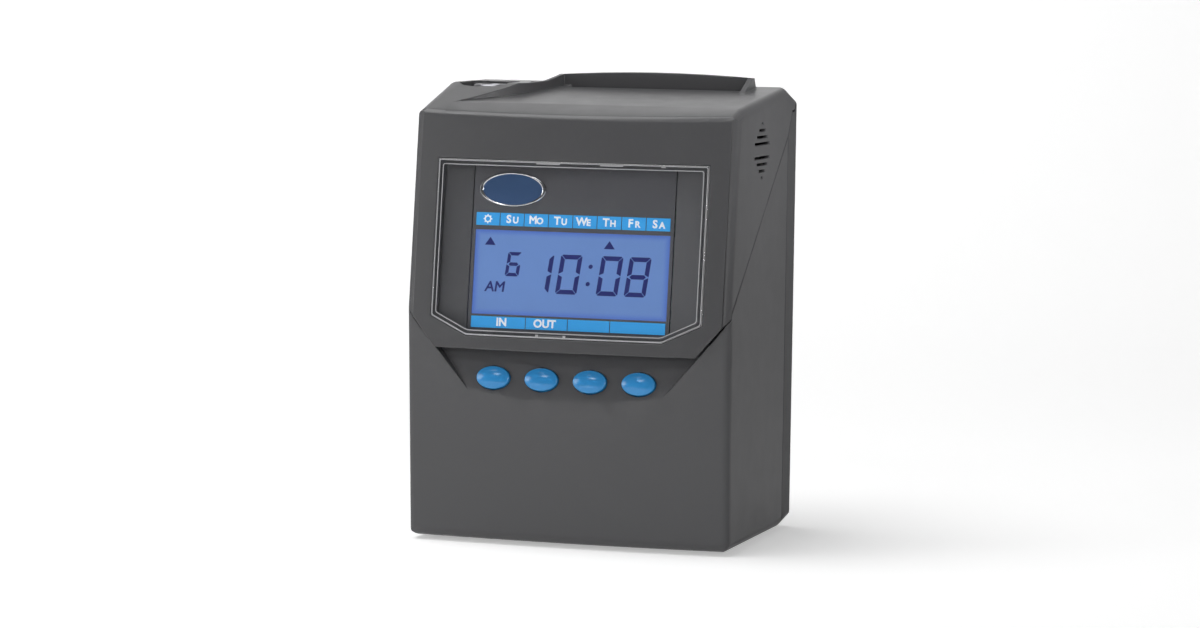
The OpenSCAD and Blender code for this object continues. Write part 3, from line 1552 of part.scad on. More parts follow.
// Cells that keep the time when the power fails
module backup_battery() {
    x = -half_w + wall + 4 + cell_r;
    on_feet() color([0.2, 0.55, 0.3]) for (i = [0:1])
        rod_y(seam_y - 30 - cell_len, seam_y - 30, x, wall + cell_r * (1 + 1.9 * i), cell_r);
}

// Socket of the power lead, fixed in the rear cover
module power_jack() {
    size = 12;
    nose = 2 * jack_r;
    on_feet() color([0.1, 0.1, 0.1]) difference() {
        union() {
            box([-jack_left - size / 2, back_y - wall - size, jack_h - size / 2],
                [-jack_left + size / 2, back_y - wall, jack_h + size / 2]);
            rod_y(back_y - wall - eps, back_y - 0.3, -jack_left, jack_h, nose);
        }
        difference() {
            rod_y(back_y - wall - size + 3, back_y + 1, -jack_left, jack_h, jack_r);
            rod_y(back_y - wall - size, back_y - wall, -jack_left, jack_h, 1);
        }
    }
}

hood();
window_lens();
lower_housing();
rear_cover();
feet();
rear_screws();
hinge_pins();
display_bezel();
overlay_panel();
day_strip();
function_strip();
badge();
lcd_panel();
backlight();
display_board();
display_carrier();
button_1();
button_2();
button_3();
button_4();
key_board();
key_switches();
lock_barrel();
lock_plug();
lock_cam();
chassis();
chassis_screws();
chute_front();
chute_rear();
feed_shaft();
feed_rollers();
feed_bushes();
feed_gear();
idler_gear();
idler_pin();
feed_motor();
motor_pinion();
pinch_arm();
pinch_rod();
pinch_axle();
pinch_rollers();
carriage();
print_head();
guide_rod();
guide_rail();
carriage_motor();
motor_pulley();
idler_pulley();
pulley_pin();
carriage_belt();
platen_bar();
sensor_lever();
sensor_bracket();
main_board();
board_parts();
backup_battery();
power_jack();
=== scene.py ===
"""Studio scene of a card time clock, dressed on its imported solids.

Sizes are millimetres in the frame of the solids: X to the right, the front faces -Y, Z up from the floor.
The studio round the clock is in metres, and meshes are written in metres.
"""

from __future__ import annotations

import json
import logging
import math
from dataclasses import dataclass, field
from enum import Enum
from typing import Iterable, Sequence

import bmesh
import bpy
from mathutils import Matrix, Vector
from mathutils.bvhtree import BVHTree
from mathutils.geometry import intersect_point_line

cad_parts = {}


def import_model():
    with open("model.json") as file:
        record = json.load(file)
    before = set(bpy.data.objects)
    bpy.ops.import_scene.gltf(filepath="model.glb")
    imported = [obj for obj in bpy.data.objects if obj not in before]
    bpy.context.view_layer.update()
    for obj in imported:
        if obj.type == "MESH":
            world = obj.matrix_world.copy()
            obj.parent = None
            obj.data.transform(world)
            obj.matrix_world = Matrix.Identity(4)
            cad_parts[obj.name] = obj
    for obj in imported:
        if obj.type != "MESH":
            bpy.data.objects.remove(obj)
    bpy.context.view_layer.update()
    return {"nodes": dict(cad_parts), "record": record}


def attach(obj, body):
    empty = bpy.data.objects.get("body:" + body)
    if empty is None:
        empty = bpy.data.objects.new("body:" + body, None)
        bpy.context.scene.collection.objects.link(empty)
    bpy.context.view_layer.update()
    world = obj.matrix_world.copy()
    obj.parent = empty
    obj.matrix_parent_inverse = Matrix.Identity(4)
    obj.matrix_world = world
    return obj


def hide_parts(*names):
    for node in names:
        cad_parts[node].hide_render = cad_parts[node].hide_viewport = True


LOG = logging.getLogger("time_clock")
MM = 0.001
Colour = tuple[float, float, float, float]
Point = tuple[float, float]
Spot = tuple[float, float, float]
Socket = bpy.types.NodeSocket
WHITE = (1.0, 1.0, 1.0, 1.0)
SHARP = 32.0  # Angle of the faces, in degrees, from which an edge between them is sharp.


def ink(red: float, green: float, blue: float) -> Colour:
    """Turns a display colour into the linear colour that shaders use.

    Args:
        red, green, blue: Display values from 0 to 255.

    Returns:
        The linear colour with full alpha.
    """
    def linear(value: float) -> float:
        """Gives the linear value of one display value."""
        part = value / 255
        return part / 12.92 if part <= 0.04045 else ((part + 0.055) / 1.055) ** 2.4

    return linear(red), linear(green), linear(blue), 1.0


def shade(colour: Colour, factor: float) -> Colour:
    """Gives a lighter or darker shade of a colour."""
    return tuple(min(part * factor, 1.0) for part in colour[:3]) + (1.0,)


class Body(Enum):
    """Bodies of the part that added pieces ride on."""

    HOUSING = "housing"
    HOOD = "hood"


class Slot(Enum):
    """Material slots of the record."""

    CASE = "case"
    BACK = "back"
    WINDOW = "window"
    BEZEL = "bezel"
    OVERLAY = "overlay"
    STRIP_BLUE = "strip_blue"
    LCD = "lcd"
    BADGE = "badge"
    BUTTON_BLUE = "button_blue"
    LOCK_CHROME = "lock_chrome"
    STEEL = "steel"
    MOTOR = "motor"
    BRASS = "brass"
    RUBBER = "rubber"
    LIGHT = "light"
    BOARD = "board"
    DARK_PLASTIC = "dark_plastic"
    WHITE_PLASTIC = "white_plastic"
    CELLS = "cells"


class Graph:
    """Shader nodes of one material."""

    noise_low = 0.3  # Most of a noise lies between this and the next value.
    noise_high = 0.7

    def __init__(self, name: str) -> None:
        """Starts an empty material.

        Args:
            name: Name of the material.
        """
        self.material = bpy.data.materials.new(name)
        self.material.use_nodes = True
        self.tree = self.material.node_tree
        self.tree.nodes.clear()
        self.place = self.add("ShaderNodeTexCoord").outputs["Object"]

    def add(self, kind: str, inputs: dict | None = None, **settings: object) -> bpy.types.Node:
        """Adds a node.

        Args:
            kind: Blender's name of the node type.
            inputs: Value or source socket for each input, by name or number.
            settings: Properties of the node.

        Returns:
            The new node.
        """
        node = self.tree.nodes.new(kind)
        for name, value in settings.items():
            setattr(node, name, value)
        for key, value in (inputs or {}).items():
            if isinstance(value, Socket):
                self.tree.links.new(value, node.inputs[key])
            else:
                node.inputs[key].default_value = value
        return node

    def moved(self, **inputs: Spot) -> Socket:
        """Gives the piece's own coordinates, moved or scaled by the inputs of a Mapping node."""
        return self.add("ShaderNodeMapping", {"Vector": self.place, **inputs}).outputs["Vector"]

    def axes(self, place: Socket | None = None) -> bpy.types.NodeOutputs:
        """Splits coordinates, the piece's own where left out, into X, Y and Z."""
        return self.add("ShaderNodeSeparateXYZ", {"Vector": place or self.place}).outputs

    def noise(self, size: float, detail: float = 2.0, place: Socket | None = None) -> Socket:
        """Adds a cloudy pattern.

        Args:
            size: Size of its patches in millimetres.
            detail: Number of finer layers.
            place: Coordinates, or the piece's own where left out.

        Returns:
            Its value from 0 to 1.
        """
        inputs = {"Vector": place or self.place, "Scale": 1 / (size * MM), "Detail": detail}
        return self.add("ShaderNodeTexNoise", inputs).outputs["Fac"]

    def spread(self, value: Socket, low: float, high: float) -> Socket:
        """Maps the middle of a noise to a range.

        Args:
            value: Noise from 0 to 1.
            low, high: Ends of the range.

        Returns:
            The mapped value.
        """
        inputs = {"Value": value, "From Min": self.noise_low, "From Max": self.noise_high, "To Min": low,
                  "To Max": high}
        return self.add("ShaderNodeMapRange", inputs).outputs["Result"]

    def ramp(self, value: Socket, start: float, end: float, low: float = 0.0, high: float = 1.0) -> Socket:
        """Maps a stretch of a value to a range with soft ends.

        Args:
            value: The value.
            start, end: Ends of the stretch.
            low, high: Results at these ends.

        Returns:
            The mapped value.
        """
        inputs = {"Value": value, "From Min": start, "From Max": end, "To Min": low, "To Max": high}
        return self.add("ShaderNodeMapRange", inputs, interpolation_type="SMOOTHSTEP").outputs["Result"]

    def blend(self, factor: Socket, low: Socket | Colour, high: Socket | Colour) -> Socket:
        """Mixes two colours by a factor, through the numbered colour sockets of a Mix node."""
        return self.add("ShaderNodeMix", {0: factor, 6: low, 7: high}, data_type="RGBA").outputs[2]

    def math(self, operation: str, first: Socket | float, second: Socket | float = 0.0) -> Socket:
        """Works out one operation on one or two values."""
        return self.add("ShaderNodeMath", {0: first, 1: second}, operation=operation).outputs[0]

    def bump(self, height: Socket, depth: float) -> Socket:
        """Makes a relief, of a depth in millimetres, from a height between 0 and 1."""
        inputs = {"Height": height, "Distance": depth * MM, "Strength": 1.0}
        return self.add("ShaderNodeBump", inputs).outputs["Normal"]

    def close(self, shader: Socket) -> bpy.types.Material:
        """Links the shader to the output and returns the material."""
        self.add("ShaderNodeOutputMaterial", {"Surface": shader})
        return self.material


@dataclass(frozen=True)
class Finish:
    """Surface with a slight drift of its colour and gloss, and a fine relief.

    Grain, relief, cloud and smear are lengths. Drift and play are shares of the colour and of the roughness.
    """

    name: str
    colour: Colour
    roughness: float = 0.5
    drift: float = 0.05
    grain: float = 0.6
    relief: float = 0.01
    metallic: float = 0.0
    specular: float = 0.5
    glow: float = 0.0
    cloud: float = 34.0
    smear: float = 11.0
    play: float = 0.06
    smoothest: float = 0.02
    layers: float = 3.0

    def tint(self, graph: Graph) -> Socket:
        """Gives the base colour."""
        low, high = shade(self.colour, 1 - self.drift), shade(self.colour, 1 + self.drift)
        return graph.blend(graph.noise(self.cloud), low, high)

    def gloss(self, graph: Graph) -> Socket:
        """Gives the roughness."""
        low, high = self.roughness * (1 - self.play), self.roughness * (1 + self.play)
        return graph.spread(graph.noise(self.smear, self.layers), max(low, self.smoothest), high)

    def normal(self, graph: Graph) -> Socket:
        """Gives the relief."""
        return graph.bump(graph.noise(self.grain, self.layers), self.relief)

    def surface(self, graph: Graph) -> Socket:
        """Builds the shader.

        Args:
            graph: Nodes of the material.

        Returns:
            The shader's output.
        """
        tint = self.tint(graph)
        shader = graph.add("ShaderNodeBsdfPrincipled", {
            "Base Color": tint, "Roughness": self.gloss(graph), "Normal": self.normal(graph),
            "Metallic": self.metallic, "Specular IOR Level": self.specular})
        # A glow shines the tint out as light; on the printed strips and their labels this glow is painted
        # light.
        if self.glow:
            graph.tree.links.new(tint, shader.inputs["Emission Color"])
            shader.inputs["Emission Strength"].default_value = self.glow
        return shader.outputs["BSDF"]

    def material(self) -> bpy.types.Material:
        """Gives the material, made once."""
        found = bpy.data.materials.get(self.name)
        if found:
            return found
        graph = Graph(self.name)
        return graph.close(self.surface(graph))


@dataclass(frozen=True)
class Moulding(Finish):
    """Moulded case whose flanks have a coarser, duller grain than its front."""

    flank: float = 0.22
    half_w: float = 84.5
    turn: float = 4.0

    def gloss(self, graph: Graph) -> Socket:
        """Gives the roughness, higher on the flanks."""
        across = graph.math("ABSOLUTE", graph.axes()["X"])
        share = graph.ramp(across, (self.half_w - self.turn) * MM, self.half_w * MM, high=self.flank)
        return graph.math("ADD", super().gloss(graph), share)


@dataclass(frozen=True)
class Brushed(Finish):
    """Metal with fine lines along X."""

    lines: float = 0.25
    stretch: float = 0.03

    def normal(self, graph: Graph) -> Socket:
        """Gives the relief of the lines."""
        place = graph.moved(Scale=(self.stretch, 1.0, 1.0))
        return graph.bump(graph.noise(self.lines, place=place), self.relief)


@dataclass(frozen=True)
class SolderMask(Finish):
    """Board with tracks under a green mask, along the edges of a net with so many cells in a metre."""

    track: Colour = ink(70, 150, 95)
    track_w: float = 0.06
    net: float = 170.0

    def tint(self, graph: Graph) -> Socket:
        """Gives the mask colour with its tracks."""
        inputs = {"Vector": graph.place, "Scale": self.net}
        cell = graph.add("ShaderNodeTexVoronoi", inputs, feature="DISTANCE_TO_EDGE")
        line = graph.math("LESS_THAN", cell.outputs["Distance"], self.track_w)
        return graph.blend(line, self.colour, self.track)


@dataclass(frozen=True)
class ClearSheet(Finish):
    """Clear plastic window that mirrors a little, and more at a slant."""

    least: float = 0.03
    gain: float = 0.7
    bend: float = 4.0

    def surface(self, graph: Graph) -> Socket:
        """Builds the shader.

        Args:
            graph: Nodes of the material.

        Returns:
            The shader's output.
        """
        mirror = graph.add("ShaderNodeBsdfGlossy", {"Color": WHITE, "Roughness": self.gloss(graph)})
        through = graph.add("ShaderNodeBsdfTransparent", {"Color": self.colour})
        facing = graph.add("ShaderNodeLayerWeight", {"Blend": 0.5}).outputs["Facing"]
        slant = graph.math("POWER", facing, self.bend)
        share = graph.math("ADD", graph.math("MULTIPLY", slant, self.gain), self.least)
        inputs = {0: share, 1: through.outputs["BSDF"], 2: mirror.outputs["BSDF"]}
        return graph.add("ShaderNodeMixShader", inputs).outputs["Shader"]


@dataclass(frozen=True)
class LitGlass(Finish):
    """Backlit display glass that dims towards its edges."""

    cloud: float = 26.0
    dimmest: float = 0.94
    brightest: float = 1.05
    middle: Spot = (0.0, 0.0, 0.0)
    half_w: float = 50.0
    half_h: float = 20.0
    edge: Colour = ink(82, 112, 186)
    fade: float = 3.5

    def tint(self, graph: Graph) -> Socket:
        """Gives the backlight's colour, darker near the glass's edges."""
        axes = graph.axes(graph.moved(Location=tuple(-part * MM for part in self.middle)))
        side = graph.math("SUBTRACT", self.half_w * MM, graph.math("ABSOLUTE", axes["X"]))
        rise = graph.math("SUBTRACT", self.half_h * MM, graph.math("ABSOLUTE", axes["Z"]))
        inner = graph.ramp(graph.math("MINIMUM", side, rise), 0.0, self.fade * MM)
        low, high = shade(self.colour, self.dimmest), shade(self.colour, self.brightest)
        return graph.blend(inner, self.edge, graph.blend(graph.noise(self.cloud), low, high))


@dataclass(frozen=True)
class StudioPaper(Finish):
    """Pale paper of the floor and the backdrop, lifted to white where the photograph looks.

    The lift falls off to the right, between two distances in metres that turn a little with depth.
    """

    lift: float = 0.4
    far_share: float = 0.2
    bright: float = 0.31
    dim: float = 0.56
    turn: float = 0.16

    def surface(self, graph: Graph) -> Socket:
        """Builds the shader.

        Args:
            graph: Nodes of the material.

        Returns:
            The shader's output.
        """
        paper = graph.add("ShaderNodeBsdfDiffuse", {"Color": self.tint(graph)})
        path = graph.add("ShaderNodeLightPath").outputs
        mirrored = graph.math("MAXIMUM", path["Is Glossy Ray"], path["Is Transmission Ray"])
        seen = graph.math("MAXIMUM", path["Is Camera Ray"], mirrored)
        axes = graph.axes()
        across = graph.math("ADD", axes["X"], graph.math("MULTIPLY", axes["Y"], self.turn))
        fall = graph.ramp(across, self.bright, self.dim, self.lift, self.far_share * self.lift)
        glow = graph.add("ShaderNodeEmission", {"Strength": graph.math("MULTIPLY", fall, seen)})
        inputs = {0: paper.outputs["BSDF"], 1: glow.outputs["Emission"]}
        return graph.add("ShaderNodeAddShader", inputs).outputs[0]


GRAPHITE = Moulding("graphite_moulding", ink(79, 79, 81), roughness=0.34, drift=0.012, grain=0.32,
                    relief=0.008)
BACK_GRAPHITE = Moulding("graphite_back", ink(76, 76, 78), roughness=0.46, drift=0.012, grain=0.36,
                         relief=0.014)
WINDOW_CLEAR = ClearSheet("window_clear", (0.975, 0.978, 0.98, 1.0), roughness=0.03)
# Frosted colour of the lens's cut edges, and the painted highlight of the bright lines along its rim.
WINDOW_FROST_AND_HIGHLIGHT = Finish("window_frost_and_highlight", ink(190, 190, 192), roughness=0.25, drift=0.12, grain=0.5, relief=0.004)
BEZEL_DARK = Finish("bezel_dark", ink(98, 98, 100), roughness=0.42, drift=0.02, grain=0.3, relief=0.006)
OVERLAY_INK = Finish("overlay_ink", ink(100, 100, 104), roughness=0.38, drift=0.02, grain=0.25, relief=0.002)
# The strip ink glows: painted light that stands in for light the recess and the window hold back from the
# strips.
STRIP_INK_PAINTED_GLOW = Finish("strip_ink_painted_glow", ink(52, 150, 214), roughness=0.35, drift=0.03, grain=0.3, relief=0.001,
                   glow=0.5)
# The label ink glows too: painted light on the printed letters of the strips.
LABEL_INK_PAINTED_GLOW = Finish("label_ink_painted_glow", ink(236, 238, 246), roughness=0.45, drift=0.02, grain=0.3, relief=0.001,
                   glow=0.35)
SEGMENT_INK = Finish("segment_ink", ink(38, 44, 112), roughness=0.3, drift=0.05, grain=0.4, relief=0.001,
                     glow=0.25)
BADGE_ENAMEL = Finish("badge_enamel", ink(82, 114, 162), roughness=0.2, drift=0.06, grain=0.8, relief=0.0004,
                      metallic=0.3)
CHROME = Finish("chrome", ink(214, 214, 216), roughness=0.14, drift=0.02, grain=0.8, relief=0.002,
                metallic=1.0)
BUTTON_GLOSS = Finish("button_gloss", ink(56, 152, 220), roughness=0.16, drift=0.03, grain=0.5, relief=0.002)
NICKEL = Finish("lock_nickel", ink(128, 128, 132), roughness=0.34, drift=0.06, grain=0.6, relief=0.004,
                metallic=1.0)
STEEL = Brushed("sheet_steel", ink(178, 180, 184), roughness=0.36, drift=0.04, relief=0.006, metallic=1.0)
MOTOR_CAN = Brushed("motor_can", ink(150, 152, 156), roughness=0.4, drift=0.05, relief=0.005, metallic=1.0)
BRASS = Brushed("turned_brass", ink(196, 158, 88), roughness=0.3, drift=0.05, relief=0.004, metallic=1.0)
RUBBER = Finish("black_rubber", ink(40, 40, 42), roughness=0.75, drift=0.08, grain=0.5, relief=0.03)
LIGHT_BOX = Finish("light_box", ink(226, 230, 236), roughness=0.35, drift=0.02, grain=0.6, relief=0.004)
BOARD_GREEN = SolderMask("board_green", ink(32, 96, 60), roughness=0.35, drift=0.05, grain=0.6, relief=0.006)
DARK_PLASTIC = Finish("dark_plastic", ink(52, 52, 55), roughness=0.48, drift=0.05, grain=0.35, relief=0.012)
WHITE_PLASTIC = Finish("white_plastic", ink(222, 221, 212), roughness=0.42, drift=0.03, grain=0.4,
                       relief=0.008)
CELL_WRAP = Finish("cell_wrap", ink(54, 132, 84), roughness=0.3, drift=0.05, grain=0.8, relief=0.006)
PAPER = StudioPaper("studio_paper", (0.86, 0.86, 0.86, 1.0), drift=0.005)


@dataclass(frozen=True)
class Plane:
    """Leaning plane that pieces are laid on: X to the right, depth behind it, height up it."""

    origin: Spot
    lean: float

    def matrix(self, x: float = 0.0, depth: float = 0.0, height: float = 0.0) -> Matrix:
        """Gives the place on the plane for a piece drawn in X and Y and rising in Z.

        Args:
            x, depth, height: Place on the plane in millimetres.

        Returns:
            The matrix that lays the piece there, facing out.
        """
        lay = Matrix.Rotation(math.radians(90), 4, "X")
        spot = Matrix.Translation((x, depth, height))
        lean = Matrix.Rotation(math.radians(-self.lean), 4, "X")
        return Matrix.Translation(self.origin) @ lean @ spot @ lay


FACE = Plane((0.0, -52.83, 219.1), 7.2)
PANEL = Plane((0.0, -61.919, 74.5), 14.4)


def pushed(mesh: bmesh.types.BMesh, grown: dict, way: Spot) -> list[bmesh.types.BMVert]:
    """Moves the new vertices of an extrusion.

    Args:
        mesh: The mesh.
        grown: What the extrusion gave back.
        way: The move.

    Returns:
        The moved vertices.
    """
    fresh = [item for item in grown["geom"] if isinstance(item, bmesh.types.BMVert)]
    bmesh.ops.translate(mesh, verts=fresh, vec=way)
    return fresh


class Draft:
    """Mesh of one piece while it is drawn, in millimetres."""

    print_t = 0.06
    capital = 1.39  # Font size for a capital that is one unit tall.
    merge = 1e-4  # Points that are closer than this are made one.
    corner = 3.0  # Size of a line's rounded corner, in widths of the line.
    long_run = 10.0  # Longer stretches of a line are cut up, to follow the bowed front.
    line_cuts = 36
    patch_cuts = 6

    def __init__(self) -> None:
        """Starts an empty mesh."""
        self.mesh = bmesh.new()

    def prism(self, outline: Sequence[Point], thick: float, matrix: Matrix) -> None:
        """Adds a flat piece with upright edges.

        Args:
            outline: Corners in X and Y.
            thick: Thickness upward from the plane.
            matrix: Place of the piece.
        """
        corners = [self.mesh.verts.new((x, y, 0.0)) for x, y in outline]
        base = self.mesh.faces.new(corners)
        grown = bmesh.ops.extrude_face_region(self.mesh, geom=[base])
        raised = pushed(self.mesh, grown, (0.0, 0.0, thick))
        bmesh.ops.transform(self.mesh, matrix=matrix, verts=corners + raised)

    def turned(self, profile: Sequence[Point], matrix: Matrix, steps: int = 72) -> None:
        """Adds a turned piece about its own Z axis.

        Args:
            profile: Radius and height of each point, from the axis or round a ring.
            matrix: Place of the piece.
            steps: Steps of the turn.
        """
        points = [self.mesh.verts.new((radius, 0.0, height)) for radius, height in profile]
        edges = [self.mesh.edges.new(pair) for pair in zip(points, points[1:])]
        before = set(self.mesh.verts) - set(points)
        bmesh.ops.spin(self.mesh, geom=points + edges, cent=(0, 0, 0), axis=(0, 0, 1), angle=math.tau,
                       steps=steps, use_merge=True, use_duplicate=False)
        made = [vert for vert in self.mesh.verts if vert not in before]
        bmesh.ops.remove_doubles(self.mesh, verts=made, dist=self.merge)
        made = [vert for vert in self.mesh.verts if vert not in before]
        bmesh.ops.transform(self.mesh, matrix=matrix, verts=made)

    def words(self, text: str, height: float, weight: float, matrix: Matrix, thick: float = print_t) -> None:
        """Adds a word, centred.

        Args:
            text: The word.
            height: Height of its capitals.
            weight: How much the strokes are thickened.
            matrix: Place of the word's middle.
            thick: Thickness of the letters.
        """
        curve = bpy.data.curves.new("word", "FONT")
        curve.body, curve.size, curve.extrude = text, height * self.capital, thick
        curve.bevel_depth, curve.bevel_resolution = weight, 0
        curve.align_x, curve.align_y, curve.resolution_u = "CENTER", "CENTER", 4
        carrier = bpy.data.objects.new("word", curve)
        bpy.context.scene.collection.objects.link(carrier)
        solid = carrier.evaluated_get(bpy.context.evaluated_depsgraph_get())
        shape = bpy.data.meshes.new_from_object(solid)
        bpy.data.objects.remove(carrier)
        flat = Matrix.Diagonal((1.0, 1.0, thick / 2 / (thick + weight), 1.0))
        shape.transform(matrix @ Matrix.Translation((0, 0, thick / 2)) @ flat)
        self.mesh.from_mesh(shape)
        bpy.data.meshes.remove(shape)

    def drape(self, faces: list[bmesh.types.BMFace], thick: float, target: bpy.types.Object) -> None:
        """Lays faces drawn in X and Z on the front of a solid, a little sunk, and thickens them forward.

        Args:
            faces: The faces.
            thick: Thickness in front of the solid.
            target: The solid.
        """
        solid = bmesh.new()
        solid.from_mesh(target.data)
        front = BVHTree.FromBMesh(solid)
        solid.free()
        sunk = thick / 4
        for vert in {vert for face in faces for vert in face.verts}:
            start = Vector((vert.co.x * MM, -1.0, vert.co.z * MM))
            vert.co.y = front.ray_cast(start, Vector((0.0, 1.0, 0.0)))[0].y / MM + sunk
        grown = bmesh.ops.extrude_face_region(self.mesh, geom=faces)
        pushed(self.mesh, grown, (0.0, -sunk - thick, 0.0))

    def line(self, outline: Sequence[Point], width: float, thick: float, target: bpy.types.Object) -> None:
        """Draws a closed line with rounded corners on the front of a solid.

        Args:
            outline: Corners in X and Z.
            width, thick: Width and thickness of the line.
            target: The solid.
        """
        sheet = bmesh.new()
        sheet.faces.new([sheet.verts.new((x, 0.0, z)) for x, z in outline])
        bmesh.ops.bevel(sheet, geom=sheet.verts[:], offset=self.corner * width, offset_type="OFFSET",
                        affect="VERTICES", segments=5, profile=0.5, clamp_overlap=True, material=-1)
        inner = sheet.faces[:]
        bmesh.ops.inset_region(sheet, faces=inner, thickness=width, use_even_offset=True, use_boundary=True)
        bmesh.ops.delete(sheet, geom=inner, context="FACES_ONLY")
        long = [edge for edge in sheet.edges if edge.calc_length() > self.long_run]
        bmesh.ops.subdivide_edges(sheet, edges=long, cuts=self.line_cuts, use_grid_fill=True)
        self.take(sheet, thick, target)

    def patch(self, across: Point, rise: Point, thick: float, target: bpy.types.Object) -> None:
        """Draws a small plate on the front of a solid.

        Args:
            across, rise: Its ends in X and in Z.
            thick: Its thickness.
            target: The solid.
        """
        sheet = bmesh.new()
        (left, right), (low, high) = across, rise
        corners = [(left, low), (right, low), (right, high), (left, high)]
        face = sheet.faces.new([sheet.verts.new((x, 0.0, z)) for x, z in corners])
        level = [face.edges[0], face.edges[2]]
        bmesh.ops.subdivide_edges(sheet, edges=level, cuts=self.patch_cuts, use_grid_fill=True)
        self.take(sheet, thick, target)

    def take(self, sheet: bmesh.types.BMesh, thick: float, target: bpy.types.Object) -> None:
        """Takes in a flat mesh, freed here, and drapes it on the front of a solid.

        Args:
            sheet: The flat mesh.
            thick: Thickness in front of the solid.
            target: The solid.
        """
        known = set(self.mesh.faces)
        flat = bpy.data.meshes.new("sheet")
        sheet.to_mesh(flat)
        sheet.free()
        self.mesh.from_mesh(flat)
        bpy.data.meshes.remove(flat)
        self.drape([face for face in self.mesh.faces if face not in known], thick, target)

    def piece(self, name: str, finish: Finish, body: str,
              nodes: Iterable[str] = ()) -> bpy.types.Object:
        """Writes the draft as a finished piece.

        Args:
            name: Name of the piece.
            finish: Its finish.
            body: Body that it rides on.
            nodes: Solids that it stands for.

        Returns:
            The new object.
        """
        bmesh.ops.recalc_face_normals(self.mesh, faces=self.mesh.faces[:])
        bmesh.ops.scale(self.mesh, vec=(MM, MM, MM), verts=self.mesh.verts[:])
        return finished(self.mesh, name, finish, body, nodes)


def finished(mesh: bmesh.types.BMesh, name: str, finish: Finish, body: str,
             nodes: Iterable[str]) -> bpy.types.Object:
    """Writes a mesh as an object that rides on a body.

    Args:
        mesh: The mesh in metres, freed here.
        name: Name of the piece.
        finish: Its finish.
        body: Body that it rides on.
        nodes: Solids that it stands for.

    Returns:
        The new object.
    """
    limit = math.radians(SHARP)
    for face in mesh.faces:
        face.smooth = True
    for edge in mesh.edges:
        edge.smooth = len(edge.link_faces) == 2 and edge.calc_face_angle(0.0) < limit
    data = bpy.data.meshes.new(name)
    mesh.to_mesh(data)
    mesh.free()
    data.materials.append(finish.material())
    item = bpy.data.objects.new(name, data)
    bpy.context.scene.collection.objects.link(item)
    weigh = item.modifiers.new("even_normals", "WEIGHTED_NORMAL")
    weigh.keep_sharp = True
    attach(item, body)
    for node in nodes:
        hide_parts(node)
    LOG.info("piece %s on %s, %d faces", name, body, len(data.polygons))
    return item


